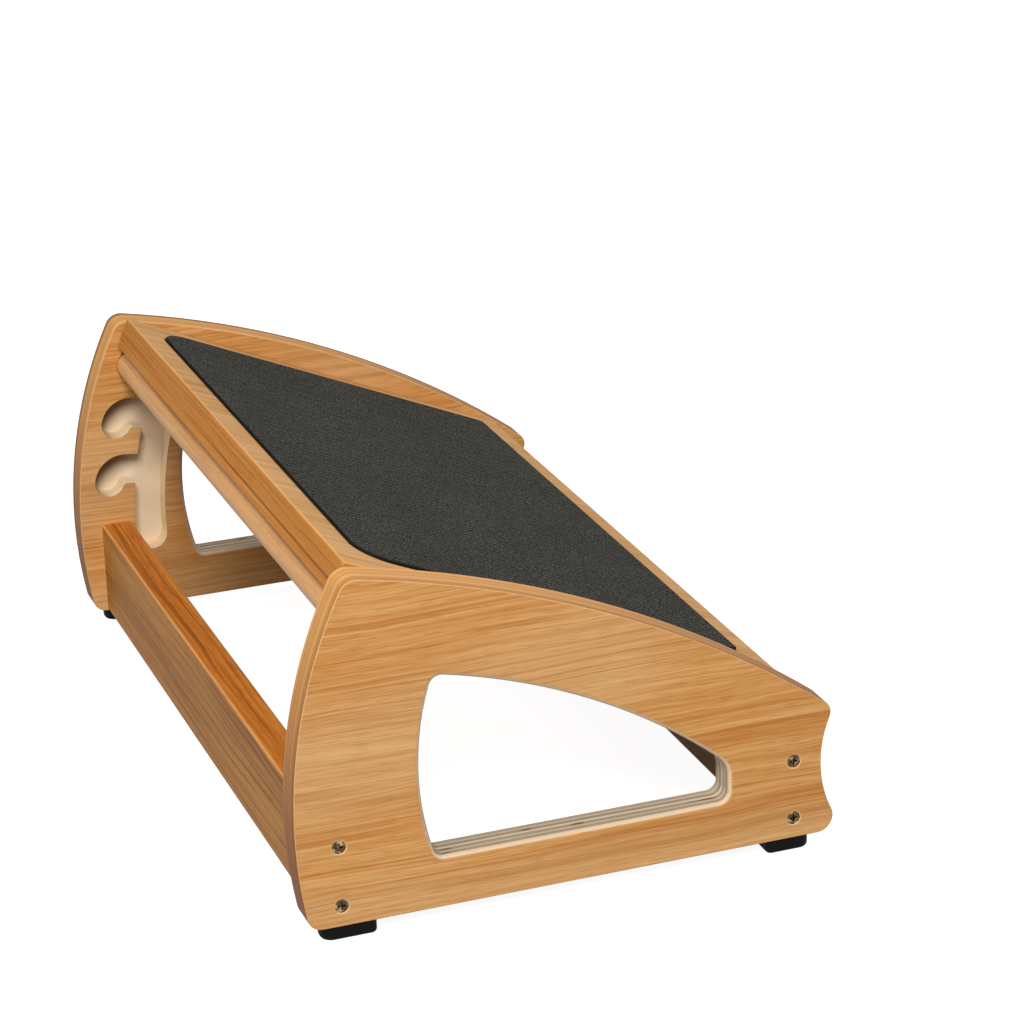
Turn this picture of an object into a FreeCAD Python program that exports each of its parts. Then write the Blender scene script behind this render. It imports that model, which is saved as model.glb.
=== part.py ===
import FreeCAD, Part
import Sketcher
import math
import os

# An under-desk footrest: two side panels, two rails, a tilting footboard with a grip mat,
# and a loose rod that holds the board up in one of three hooks.
# Frame: +X from left to right, +Y from the heel end to the toe end, +Z up,
# with the origin on the floor under the middle of the whole footrest.

doc = FreeCAD.newDocument("footrest")

# Driving dimensions in millimetres and degrees. Heights of the panel's features are measured
# from the panel's bottom edge.
DIMENSIONS = [
    ("overall_width", 450.0, "outside of one side panel to outside of the other"),
    ("overall_depth", 281.1, "toe edge to heel end of a side panel"),
    ("foot_height", 8.0, "floor to the bottom edge of the panels"),
    ("panel_thickness", 18.0, "side panel"),
    ("panel_arris", 0.6, "broken edge round the side panel"),
    ("toe_edge_radius", 267.3, "curve of the panel's toe edge"),
    ("toe_edge_centre_height", 54.0, "height of that curve's centre"),
    ("toe_top_height", 178.3, "height where the top edge meets the toe edge"),
    ("heel_top_height", 67.9, "height where the top edge would meet the heel end"),
    ("top_edge_radius", 570.0, "curve of the panel's top edge"),
    ("toe_top_round", 9.0, "upper toe corner"),
    ("toe_bottom_round", 8.0, "lower toe corner"),
    ("heel_nose_round", 7.0, "nose at the heel end of the top edge"),
    ("heel_scoop_radius", 63.0, "hollow curve under the nose"),
    ("heel_scoop_height", 39.2, "height of that curve's centre"),
    ("heel_lobe_round", 8.5, "lower heel corner"),
    ("window_sill_height", 27.0, "bottom of the window"),
    ("window_toe_margin", 63.4, "toe edge of the panel to the window"),
    ("window_toe_radius", 150.0, "curve of the window's toe side"),
    ("window_toe_centre_height", 72.9, "height of that curve's centre"),
    ("window_heel_margin", 57.3, "heel end of the panel to the window"),
    ("window_toe_top_height", 124.0, "height of the window's top at its toe side"),
    ("window_heel_top_height", 46.9, "height of the window's top at its heel side"),
    ("window_top_radius", 330.0, "curve of the window's top"),
    ("window_toe_low_round", 5.0, "window corner, toe side, low"),
    ("window_toe_top_round", 6.0, "window corner, toe side, high"),
    ("window_heel_top_round", 14.0, "window corner, heel side, high"),
    ("window_heel_low_round", 5.5, "window corner, heel side, low"),
    ("window_rim_round", 2.5, "rounded rim on both faces"),
    ("rod_diameter", 17.0, "support rod"),
    ("rod_end_chamfer", 1.0, "support rod"),
    ("rod_end_clearance", 1.0, "rod end to groove floor"),
    ("rod_seat_clearance", 0.3, "rod to its seat, all round"),
    ("rod_channel_clearance", 1.0, "total play of the rod across the channel"),
    ("rod_lift_clearance", 1.0, "total play of the rod over a tooth"),
    ("groove_depth", 12.0, "groove in the inner face of a side panel"),
    ("hook_edge_wall", 9.0, "wood left between a seat and the panel's toe edge"),
    ("hook_reach", 24.5, "seat centre to the middle of the channel"),
    ("hook_angle", 22.65, "upper seat above the toe curve's centre"),
    ("hook_pitch", 8.31, "angle from one seat to the next"),
    ("hook_count", 3.0, "seats"),
    ("tooth_drop", 0.8, "top of a tooth below the seat centre"),
    ("tooth_round", 2.5, "seat side corner of a tooth"),
    ("channel_low_angle", 2.6, "lower end of the channel below the toe curve's centre"),
    ("channel_corner_round", 4.0, "upper heel side corner of the channel"),
    ("rail_height", 54.5, "toe rail and heel rail"),
    ("rail_thickness", 18.0, "toe rail and heel rail"),
    ("rail_arris", 2.0, "rounded long edges of the rails"),
    ("toe_rail_inset", 21.6, "panel's toe edge to the middle of the toe rail"),
    ("heel_rail_inset", 21.8, "panel's heel end to the middle of the heel rail"),
    ("screw_low_height", 10.8, "lower rail screw"),
    ("screw_pitch", 31.3, "lower rail screw to upper rail screw"),
    ("screw_length", 50.0, "rail screw"),
    ("screw_head_diameter", 7.0, "rail screw"),
    ("screw_head_sink", 0.3, "head below the panel's face"),
    ("screw_neck_diameter", 4.6, "rail screw, plain part through the panel"),
    ("screw_core_diameter", 3.6, "rail screw, part in the rail"),
    ("screw_tip_length", 4.0, "rail screw"),
    ("screw_recess_width", 0.9, "arm of the cross recess"),
    ("screw_recess_span", 4.0, "cross recess from end to end"),
    ("screw_recess_depth", 1.6, "cross recess"),
    ("screw_clearance", 0.05, "screw to its hole, on the radius"),
    ("screw_hole_spare", 2.0, "hole beyond the screw's tip"),
    ("pivot_inset", 35.6, "panel's heel end to the board's pivot"),
    ("pivot_height", 79.8, "height of the board's pivot"),
    ("pin_diameter", 8.0, "pivot pin"),
    ("pin_in_board", 24.0, "pivot pin inside the board"),
    ("pin_in_panel", 11.0, "pivot pin inside the panel"),
    ("pin_chamfer", 0.8, "pivot pin"),
    ("pin_end_clearance", 0.5, "pivot pin to the bottom of its holes"),
    ("bush_wall", 1.5, "sleeve that the pin turns in"),
    ("bush_flange_diameter", 16.0, "flange between board and panel"),
    ("bush_flange_thickness", 0.7, "flange between board and panel"),
    ("running_clearance", 0.05, "pin in its bush, on the radius"),
    ("fixed_clearance", 0.02, "pieces driven into their holes, on the radius"),
    ("board_length", 242.8, "footboard along its slope"),
    ("board_thickness", 18.0, "footboard"),
    ("board_side_gap", 1.0, "board end to side panel"),
    ("board_arris", 1.5, "rounded edges of the board"),
    ("board_heel_margin", 11.0, "pivot to the heel edge of the board"),
    ("board_rod_clearance", 0.3, "underside of the board to the rod"),
    ("mat_side_margin", 17.5, "board end to mat"),
    ("mat_toe_margin", 15.3, "toe edge of the board to mat"),
    ("mat_heel_margin", 15.6, "heel edge of the board to mat"),
    ("mat_toe_corner_round", 18.0, "grip mat, toe corners"),
    ("mat_heel_corner_round", 3.0, "grip mat, heel corners"),
    ("mat_thickness", 1.5, "grip mat"),
    ("mat_arris", 0.4, "upper edge of the mat"),
    ("mat_glue_film", 0.1, "board to mat"),
    ("toe_foot_length", 28.0, "rubber toe foot along the panel"),
    ("heel_foot_length", 24.0, "rubber heel foot along the panel"),
    ("foot_width", 14.0, "rubber foot across the panel"),
    ("foot_outer_round", 6.0, "corners of a foot at the end of the panel, seen from below"),
    ("foot_inner_round", 3.0, "corners of a foot towards the middle of the panel"),
    ("foot_edge_round", 2.0, "lower edge of the rubber foot"),
    ("foot_side_inset", 1.5, "panel's outer face to the foot"),
    ("toe_foot_inset", 25.8, "panel's toe edge to the middle of the toe foot"),
    ("heel_foot_inset", 23.5, "panel's heel end to the middle of the heel foot"),
    ("foot_screw_inset", 5.5, "end of a foot to its nearer screw"),
    ("foot_screw_diameter", 3.0, "foot screw"),
    ("foot_screw_head_diameter", 5.6, "foot screw"),
    ("foot_screw_head_height", 2.0, "foot screw"),
    ("foot_screw_crown_diameter", 3.4, "flat middle of the foot screw's domed head"),
    ("foot_screw_rim_height", 1.0, "upright rim of the foot screw's domed head"),
    ("foot_screw_length", 12.0, "foot screw under its head"),
    ("foot_screw_tip_length", 3.0, "foot screw"),
    ("foot_screw_sink", 1.6, "foot's underside to the screw head"),
    ("foot_hole_clearance", 0.2, "foot screw to the hole in the rubber, on the radius"),
]

sizes = doc.addObject("Spreadsheet::Sheet", "sizes")
for row, (alias, value, meaning) in enumerate(DIMENSIONS, start=1):
    sizes.set("A%d" % row, alias)
    sizes.set("B%d" % row, str(value))
    sizes.set("C%d" % row, meaning)
    sizes.setAlias("B%d" % row, alias)
doc.recompute()

AXES = {
    "x": FreeCAD.Vector(1, 0, 0),
    "y": FreeCAD.Vector(0, 1, 0),
    "z": FreeCAD.Vector(0, 0, 1),
}

LEFT = -1
RIGHT = 1
SIDE_NAMES = {LEFT: "left", RIGHT: "right"}

# Two places closer than this are the same place.
TOLERANCE = 0.001

# Places that several pieces share, as formulas of the driving dimensions.
INNER_HALF = "(sizes.overall_width / 2 - sizes.panel_thickness)"
TOE_END = "(sizes.overall_depth / 2)"
HEEL_END = "(-sizes.overall_depth / 2)"
CURVE_Y = "(%s - sizes.toe_edge_radius)" % TOE_END
CURVE_Z = "sizes.toe_edge_centre_height"
SEAT_RADIUS = "(sizes.rod_diameter / 2 + sizes.rod_seat_clearance)"
SEAT_CIRCLE = "(sizes.toe_edge_radius - sizes.hook_edge_wall - %s)" % SEAT_RADIUS
CHANNEL_RADIUS = "(%s - sizes.hook_reach)" % SEAT_CIRCLE
CHANNEL_HALF = "((sizes.rod_diameter + sizes.rod_channel_clearance) / 2)"
ROOF_HEIGHT = "(sizes.rod_diameter + sizes.rod_lift_clearance - sizes.tooth_drop)"
ROD_Y = "(%s + %s * cos(sizes.hook_angle))" % (CURVE_Y, SEAT_CIRCLE)
ROD_Z = "(sizes.foot_height + %s + %s * sin(sizes.hook_angle))" % (CURVE_Z, SEAT_CIRCLE)
PIVOT_Y = "(%s + sizes.pivot_inset)" % HEEL_END
PIVOT_Z = "(sizes.foot_height + sizes.pivot_height)"
TOE_RAIL_Y = "(%s - sizes.toe_rail_inset)" % TOE_END
HEEL_RAIL_Y = "(%s + sizes.heel_rail_inset)" % HEEL_END
TOE_FOOT_Y = "(%s - sizes.toe_foot_inset)" % TOE_END
HEEL_FOOT_Y = "(%s + sizes.heel_foot_inset)" % HEEL_END
FOOT_X = "(sizes.overall_width / 2 - sizes.foot_side_inset - sizes.foot_width / 2)"
BUSH_RADIUS = "(sizes.pin_diameter / 2 + sizes.running_clearance + sizes.bush_wall)"
PIN_BORE_RADIUS = "(sizes.pin_diameter / 2 + sizes.fixed_clearance)"
BOARD_HALF_WIDTH = "(%s - sizes.board_side_gap)" % INNER_HALF
SCREW_HIGH = "(sizes.screw_low_height + sizes.screw_pitch)"
SCREW_IN_RAIL = "(sizes.screw_length - sizes.panel_thickness + sizes.screw_head_sink)"


def number(formula):
    """The value of a formula of the driving dimensions."""
    return float(sizes.evalExpression(formula))


# The board lies on the rod: its slope follows from the pivot, the rod and the thicknesses.
ROD_FROM_PIVOT_Y = "(%s - %s)" % (ROD_Y, PIVOT_Y)
ROD_FROM_PIVOT_Z = "(%s - %s)" % (ROD_Z, PIVOT_Z)
ROD_TO_BOARD = "(sizes.rod_diameter / 2 + sizes.board_rod_clearance + sizes.board_thickness / 2)"
BOARD_SLOPE = "atan(%s / %s) + asin(%s / sqrt(%s ^ 2 + %s ^ 2))" % (
    ROD_FROM_PIVOT_Z,
    ROD_FROM_PIVOT_Y,
    ROD_TO_BOARD,
    ROD_FROM_PIVOT_Y,
    ROD_FROM_PIVOT_Z,
)


# Plane geometry: an outline is a ring of lines and circles, walked with the inside on the left,
# and each corner between two of them is sharp or rounded.

class Line:
    """An endless line through a point, walked along a direction."""

    def __init__(self, point, direction):
        length = math.hypot(*direction)
        self.point = point
        self.direction = (direction[0] / length, direction[1] / length)

    def shifted(self, distance):
        """The parallel line that lies further to the left."""
        dx, dy = self.direction
        return Line((self.point[0] - dy * distance, self.point[1] + dx * distance), self.direction)

    def nearest(self, point):
        dx, dy = self.direction
        along = (point[0] - self.point[0]) * dx + (point[1] - self.point[1]) * dy
        return (self.point[0] + dx * along, self.point[1] + dy * along)


class Circle:
    """A circle with its inside on the left (turn 1) or on the right (turn -1)."""

    def __init__(self, centre, radius, turn=1):
        self.centre = centre
        self.radius = radius
        self.turn = turn

    def shifted(self, distance):
        """The parallel circle that lies further to the left."""
        return Circle(self.centre, self.radius - self.turn * distance, self.turn)

    def nearest(self, point):
        dx = point[0] - self.centre[0]
        dy = point[1] - self.centre[1]
        scale = self.radius / math.hypot(dx, dy)
        return (self.centre[0] + dx * scale, self.centre[1] + dy * scale)


def crossings(first, second):
    """Points where two lines or circles cross."""
    if isinstance(first, Circle) and isinstance(second, Line):
        return crossings(second, first)
    if isinstance(first, Line) and isinstance(second, Line):
        cross = first.direction[0] * second.direction[1] - first.direction[1] * second.direction[0]
        gap = (second.point[0] - first.point[0], second.point[1] - first.point[1])
        along = (gap[0] * second.direction[1] - gap[1] * second.direction[0]) / cross
        return [(first.point[0] + first.direction[0] * along, first.point[1] + first.direction[1] * along)]
    if isinstance(first, Line):
        foot = first.nearest(second.centre)
        rise = math.dist(foot, second.centre)
        half = math.sqrt(second.radius ** 2 - rise ** 2)
        dx, dy = first.direction
    else:
        gap = math.dist(first.centre, second.centre)
        along = (first.radius ** 2 - second.radius ** 2 + gap ** 2) / (2 * gap)
        half = math.sqrt(first.radius ** 2 - along ** 2)
        ux = (second.centre[0] - first.centre[0]) / gap
        uy = (second.centre[1] - first.centre[1]) / gap
        foot = (first.centre[0] + ux * along, first.centre[1] + uy * along)
        dx, dy = -uy, ux
    return [(foot[0] + dx * half, foot[1] + dy * half), (foot[0] - dx * half, foot[1] - dy * half)]


def circle_through(first, second, radius):
    """Circle of a radius through two points, walked from the first to the second, inside left."""
    half = math.dist(first, second) / 2
    middle = ((first[0] + second[0]) / 2, (first[1] + second[1]) / 2)
    rise = math.sqrt(radius ** 2 - half ** 2)
    dx = (second[0] - first[0]) / (2 * half)
    dy = (second[1] - first[1]) / (2 * half)
    return Circle((middle[0] - dy * rise, middle[1] + dx * rise), radius)


class Corner:
    """Where one edge of an outline hands over to the next.

    near is a rough place that picks the right crossing, and size is the alias or formula of the
    round, or None where the corner is sharp or the two edges already run into each other.
    hollow rounds lie outside the outline."""

    def __init__(self, near, size=None, hollow=False, smooth=False):
        self.near = near
        self.size = size
        self.hollow = hollow
        self.smooth = smooth


def arc_between(circle, start, end):
    """Sketch arc on a circle from start to end, in the circle's own walking direction."""
    angles = [
        math.atan2(point[1] - circle.centre[1], point[0] - circle.centre[0])
        for point in (start, end)
    ]
    if circle.turn < 0:
        angles.reverse()
    centre = FreeCAD.Vector(circle.centre[0], circle.centre[1], 0)
    base = Part.Circle(centre, AXES["z"], circle.radius)
    return Part.ArcOfCircle(base, angles[0], angles[1])


def bind(sketch, kind, where, formula):
    """Add a measured constraint and tie it to a formula of the driving dimensions."""
    index = sketch.addConstraint(Sketcher.Constraint(kind, *where, sketch.evalExpression(formula)))
    sketch.setExpression("Constraints[%d]" % index, formula)


def place_point(sketch, where, across, up):
    """Tie a point of the sketch to two coordinates from the sketch's origin."""
    for kind, formula in (("DistanceX", across), ("DistanceY", up)):
        bind(sketch, kind, (-1, 1) + where, formula)


# The numbers that a sketch gives to the points of an edge.
START, END, CENTRE = range(1, 4)


def draw_outline(sketch, edges, corners):
    """Draw a ring of edges with its corners; corner i lies between edge i and edge i + 1.

    Returns the sketch's index of each edge."""
    count = len(edges)
    leaving = []
    arriving = []
    rounds = []
    for i, corner in enumerate(corners):
        first, second = edges[i], edges[(i + 1) % count]
        if corner.size is None:
            if corner.smooth:
                point = first.nearest(corner.near)
            else:
                point = min(crossings(first, second), key=lambda p: math.dist(p, corner.near))
            leaving.append(point)
            arriving.append(point)
            rounds.append(None)
            continue
        radius = number(corner.size)
        shift = -radius if corner.hollow else radius
        places = crossings(first.shifted(shift), second.shifted(shift))
        centre = min(places, key=lambda p: math.dist(p, corner.near))
        leaving.append(first.nearest(centre))
        arriving.append(second.nearest(centre))
        rounds.append(Circle(centre, radius, -1 if corner.hollow else 1))

    edge_index = []
    ends = []
    for i, edge in enumerate(edges):
        start, end = arriving[i - 1], leaving[i]
        if isinstance(edge, Line):
            piece = Part.LineSegment(FreeCAD.Vector(*start, 0), FreeCAD.Vector(*end, 0))
            ends.append((START, END))
        else:
            piece = arc_between(edge, start, end)
            ends.append((START, END) if edge.turn > 0 else (END, START))
        edge_index.append(sketch.addGeometry(piece, False))

    for i, corner in enumerate(corners):
        here, there = edge_index[i], edge_index[(i + 1) % count]
        end_here, start_there = ends[i][1], ends[(i + 1) % count][0]
        if rounds[i] is None:
            kind = "Tangent" if corner.smooth else "Coincident"
            sketch.addConstraint(Sketcher.Constraint(kind, here, end_here, there, start_there))
            continue
        arc = sketch.addGeometry(arc_between(rounds[i], leaving[i], arriving[i]), False)
        first_end, last_end = (END, START) if corner.hollow else (START, END)
        sketch.addConstraint(Sketcher.Constraint("Tangent", here, end_here, arc, first_end))
        sketch.addConstraint(Sketcher.Constraint("Tangent", arc, last_end, there, start_there))
        bind(sketch, "Radius", (arc,), corner.size)
    return edge_index


# Helpers for bodies and features.

def new_body(name):
    body = doc.addObject("PartDesign::Body", name)
    body.Label = name
    return body


def place(item, across="0", along="0", up="0"):
    """Tie an object's position to formulas."""
    item.setExpression("Placement.Base.x", across)
    item.setExpression("Placement.Base.y", along)
    item.setExpression("Placement.Base.z", up)


def turn_item(item, axis, degrees):
    """Turn an object about one of the frame's axes; its position is tied afterwards."""
    item.Placement = FreeCAD.Placement(FreeCAD.Vector(0, 0, 0), FreeCAD.Rotation(AXES[axis], degrees))


def lay_on_slope(item):
    """Tie an object's rotation to the slope of the footboard."""
    turn_item(item, "x", number(BOARD_SLOPE))
    item.setExpression("Placement.Rotation.Angle", BOARD_SLOPE)


def new_sketch(body, name, plane, offset="0", across="0", up="0", turn=None):
    """Sketch on one of the body's own planes, moved along its normal and within the plane."""
    support = [item for item in body.Origin.OriginFeatures if item.Role == plane][0]
    sketch = body.newObject("Sketcher::SketchObject", name)
    sketch.AttachmentSupport = [(support, "")]
    sketch.MapMode = "FlatFace"
    if turn is not None:
        sketch.AttachmentOffset = FreeCAD.Placement(
            FreeCAD.Vector(0, 0, 0), FreeCAD.Rotation(AXES["z"], number(turn))
        )
        sketch.setExpression("AttachmentOffset.Rotation.Angle", turn)
    sketch.setExpression("AttachmentOffset.Base.x", across)
    sketch.setExpression("AttachmentOffset.Base.y", up)
    sketch.setExpression("AttachmentOffset.Base.z", offset)
    return sketch


def add_pad(body, sketch, name, length, reverse=False, middle=False):
    pad = body.newObject("PartDesign::Pad", name)
    pad.Profile = sketch
    pad.setExpression("Length", length)
    pad.Reversed = reverse
    pad.Midplane = middle
    sketch.Visibility = False
    doc.recompute()
    return pad


def add_pocket(body, sketch, name, depth, reverse=False, through=False):
    """Cut a sketch into the body, and make sure that it removed material."""
    before = body.Shape.Volume
    pocket = body.newObject("PartDesign::Pocket", name)
    pocket.Profile = sketch
    pocket.setExpression("Length", depth)
    pocket.Reversed = reverse
    if through:
        pocket.Midplane = True
    sketch.Visibility = False
    doc.recompute()
    if not body.Shape.Volume < before:
        raise ValueError(name + " cuts nothing")
    return pocket


def round_edges(body, base, name, radius, chosen):
    """Round the edges of the base feature for which chosen(edge) is true."""
    names = ["Edge%d" % (i + 1) for i, edge in enumerate(base.Shape.Edges) if chosen(edge)]
    fillet = body.newObject("PartDesign::Fillet", name)
    fillet.Base = (base, names)
    fillet.setExpression("Radius", radius)
    doc.recompute()
    return fillet


def add_circle(sketch, across, up, radius):
    """A circle whose centre and radius are tied to formulas."""
    centre = FreeCAD.Vector(number(across), number(up), 0)
    index = sketch.addGeometry(Part.Circle(centre, AXES["z"], number(radius)), False)
    bind(sketch, "Radius", (index,), radius)
    place_point(sketch, (index, CENTRE), across, up)


def add_rectangle(sketch, left, bottom, right, top, low_round=None, high_round=None):
    """An upright rectangle between formulas; its lower and upper corners are sharp or rounded."""
    x1, y1, x2, y2 = number(left), number(bottom), number(right), number(top)
    edges = [
        Line((x1, y1), (1, 0)),
        Line((x2, y1), (0, 1)),
        Line((x2, y2), (-1, 0)),
        Line((x1, y2), (0, -1)),
    ]
    corners = [
        Corner((x2, y1), low_round),
        Corner((x2, y2), high_round),
        Corner((x1, y2), high_round),
        Corner((x1, y1), low_round),
    ]
    index = draw_outline(sketch, edges, corners)
    for edge, kind in zip(index, ("Horizontal", "Vertical", "Horizontal", "Vertical")):
        sketch.addConstraint(Sketcher.Constraint(kind, edge))
    bind(sketch, "DistanceY", (-1, 1, index[0], START), bottom)
    bind(sketch, "DistanceX", (-1, 1, index[1], START), right)
    bind(sketch, "DistanceY", (-1, 1, index[2], START), top)
    bind(sketch, "DistanceX", (-1, 1, index[3], START), left)


# Side panels. Each is drawn on its inner face, with z from the panel's bottom edge,
# and the wood lies away from the middle of the footrest.

def draw_panel_outline(sketch):
    toe_end, heel_end = number(TOE_END), number(HEEL_END)
    toe_edge = Circle((number(CURVE_Y), number(CURVE_Z)), number("sizes.toe_edge_radius"))
    toe_top = min(
        crossings(Line((0, number("sizes.toe_top_height")), (1, 0)), toe_edge),
        key=lambda point: math.dist(point, (toe_end, point[1])),
    )
    heel_top = (heel_end, number("sizes.heel_top_height"))
    top_edge = circle_through(toe_top, heel_top, number("sizes.top_edge_radius"))
    lobe = number("sizes.heel_lobe_round")
    scoop = number("sizes.heel_scoop_radius")
    scoop_height = number("sizes.heel_scoop_height")
    reach = math.sqrt((scoop + lobe) ** 2 - (scoop_height - lobe) ** 2)
    scoop_edge = Circle((heel_end + lobe - reach, scoop_height), scoop, -1)
    edges = [Line((0, 0), (1, 0)), toe_edge, top_edge, scoop_edge]
    corners = [
        Corner((toe_end, 0), "sizes.toe_bottom_round"),
        Corner(toe_top, "sizes.toe_top_round"),
        Corner(heel_top, "sizes.heel_nose_round"),
        Corner((heel_end + lobe, lobe), "sizes.heel_lobe_round"),
    ]
    bottom, toe, top, hollow = draw_outline(sketch, edges, corners)
    sketch.addConstraint(Sketcher.Constraint("PointOnObject", bottom, START, -1))
    sketch.addConstraint(Sketcher.Constraint("Horizontal", bottom))
    place_point(sketch, (toe, CENTRE), CURVE_Y, CURVE_Z)
    bind(sketch, "Radius", (toe,), "sizes.toe_edge_radius")
    bind(sketch, "Radius", (top,), "sizes.top_edge_radius")
    toe_mark = sketch.addGeometry(Part.Point(FreeCAD.Vector(*toe_top, 0)), True)
    heel_mark = sketch.addGeometry(Part.Point(FreeCAD.Vector(*heel_top, 0)), True)
    sketch.addConstraint(Sketcher.Constraint("PointOnObject", toe_mark, 1, toe))
    sketch.addConstraint(Sketcher.Constraint("PointOnObject", toe_mark, 1, top))
    bind(sketch, "DistanceY", (-1, 1, toe_mark, 1), "sizes.toe_top_height")
    sketch.addConstraint(Sketcher.Constraint("PointOnObject", heel_mark, 1, top))
    place_point(sketch, (heel_mark, 1), HEEL_END, "sizes.heel_top_height")
    bind(sketch, "Radius", (hollow,), "sizes.heel_scoop_radius")
    bind(sketch, "DistanceY", (-1, 1, hollow, CENTRE), "sizes.heel_scoop_height")
    bind(
        sketch, "DistanceX", (-1, 1, bottom, START), "%s + sizes.heel_lobe_round" % HEEL_END
    )


WINDOW_TOE_Y = "(%s - sizes.window_toe_margin)" % TOE_END
WINDOW_HEEL_Y = "(%s + sizes.window_heel_margin)" % HEEL_END


def draw_window(sketch):
    sill = number("sizes.window_sill_height")
    heel_y, toe_y = number(WINDOW_HEEL_Y), number(WINDOW_TOE_Y)
    toe_radius = number("sizes.window_toe_radius")
    toe_centre = (toe_y - toe_radius, number("sizes.window_toe_centre_height"))
    toe_top = (toe_y, number("sizes.window_toe_top_height"))
    heel_top = (heel_y, number("sizes.window_heel_top_height"))
    edges = [
        Line((0, sill), (1, 0)),
        Circle(toe_centre, toe_radius),
        circle_through(toe_top, heel_top, number("sizes.window_top_radius")),
        Line((heel_y, 0), (0, -1)),
    ]
    corners = [
        Corner((toe_y, sill), "sizes.window_toe_low_round"),
        Corner(toe_top, "sizes.window_toe_top_round"),
        Corner(heel_top, "sizes.window_heel_top_round"),
        Corner((heel_y, sill), "sizes.window_heel_low_round"),
    ]
    low, toe, top, heel = draw_outline(sketch, edges, corners)
    sketch.addConstraint(Sketcher.Constraint("Horizontal", low))
    sketch.addConstraint(Sketcher.Constraint("Vertical", heel))
    bind(sketch, "DistanceY", (-1, 1, low, START), "sizes.window_sill_height")
    bind(sketch, "DistanceX", (-1, 1, heel, START), WINDOW_HEEL_Y)
    bind(sketch, "Radius", (toe,), "sizes.window_toe_radius")
    place_point(
        sketch,
        (toe, CENTRE),
        "%s - sizes.window_toe_radius" % WINDOW_TOE_Y,
        "sizes.window_toe_centre_height",
    )
    bind(sketch, "Radius", (top,), "sizes.window_top_radius")
    for corner, across, up in (
        (toe_top, WINDOW_TOE_Y, "sizes.window_toe_top_height"),
        (heel_top, WINDOW_HEEL_Y, "sizes.window_heel_top_height"),
    ):
        mark = sketch.addGeometry(Part.Point(FreeCAD.Vector(*corner, 0)), True)
        sketch.addConstraint(Sketcher.Constraint("PointOnObject", mark, 1, top))
        place_point(sketch, (mark, 1), across, up)


# The groove is drawn about the centre of the toe edge's curve, turned so that the sketch's
# first axis runs through the upper seat.

def draw_channel(sketch):
    """The curved channel that the rod runs down, from the upper hook's roof to its round foot."""
    middle, half = number(CHANNEL_RADIUS), number(CHANNEL_HALF)
    roof = number(ROOF_HEIGHT)
    low = math.radians(number("sizes.hook_angle + sizes.channel_low_angle"))
    foot = (middle * math.cos(low), -middle * math.sin(low))
    edges = [
        Circle((0, 0), middle + half),
        Line((0, roof), (-1, 0)),
        Circle((0, 0), middle - half, -1),
        Circle(foot, half),
    ]
    inner_low = ((middle - half) * math.cos(low), -(middle - half) * math.sin(low))
    outer_low = ((middle + half) * math.cos(low), -(middle + half) * math.sin(low))
    corners = [
        Corner((middle + half, roof)),
        Corner((middle - half, roof), "sizes.channel_corner_round"),
        Corner(inner_low, smooth=True),
        Corner(outer_low, smooth=True),
    ]
    outer, top, inner, end = draw_outline(sketch, edges, corners)
    for arc, radius in (
        (outer, "%s + %s" % (CHANNEL_RADIUS, CHANNEL_HALF)),
        (inner, "%s - %s" % (CHANNEL_RADIUS, CHANNEL_HALF)),
    ):
        sketch.addConstraint(Sketcher.Constraint("Coincident", arc, CENTRE, -1, 1))
        bind(sketch, "Radius", (arc,), radius)
    sketch.addConstraint(Sketcher.Constraint("Horizontal", top))
    bind(sketch, "DistanceY", (-1, 1, top, START), ROOF_HEIGHT)
    bind(
        sketch,
        "DistanceX",
        (-1, 1, end, CENTRE),
        "%s * cos(sizes.hook_angle + sizes.channel_low_angle)" % CHANNEL_RADIUS,
    )


def draw_hook(sketch):
    """One hook: the way over the tooth, the seat of the rod, and the roof that it rolls along."""
    seat = (number(SEAT_CIRCLE), 0)
    seat_radius, roof = number(SEAT_RADIUS), number(ROOF_HEIGHT)
    drop, mouth = number("sizes.tooth_drop"), number(CHANNEL_RADIUS)
    roof_centre = (seat[0] + seat_radius - roof, 0)
    edges = [
        Line((0, -drop), (1, 0)),
        Circle(seat, seat_radius),
        Circle(roof_centre, roof),
        Line((0, roof), (-1, 0)),
        Line((mouth, 0), (0, -1)),
    ]
    corners = [
        Corner((seat[0] - seat_radius, -drop), "sizes.tooth_round", hollow=True),
        Corner((seat[0] + seat_radius, 0), smooth=True),
        Corner((roof_centre[0], roof), smooth=True),
        Corner((mouth, roof)),
        Corner((mouth, -drop)),
    ]
    tooth, rod_seat, roof_arc, roof_line, opening = draw_outline(sketch, edges, corners)
    sketch.addConstraint(Sketcher.Constraint("Horizontal", tooth))
    sketch.addConstraint(Sketcher.Constraint("Horizontal", roof_line))
    sketch.addConstraint(Sketcher.Constraint("Vertical", opening))
    bind(sketch, "DistanceY", (tooth, START, -1, 1), "sizes.tooth_drop")
    bind(sketch, "DistanceX", (-1, 1, opening, START), CHANNEL_RADIUS)
    sketch.addConstraint(Sketcher.Constraint("PointOnObject", rod_seat, CENTRE, -1))
    bind(sketch, "DistanceX", (-1, 1, rod_seat, CENTRE), SEAT_CIRCLE)
    bind(sketch, "Radius", (rod_seat,), SEAT_RADIUS)
    bind(sketch, "Radius", (roof_arc,), ROOF_HEIGHT)
    sketch.addConstraint(Sketcher.Constraint("PointOnObject", roof_arc, CENTRE, -1))


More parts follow.
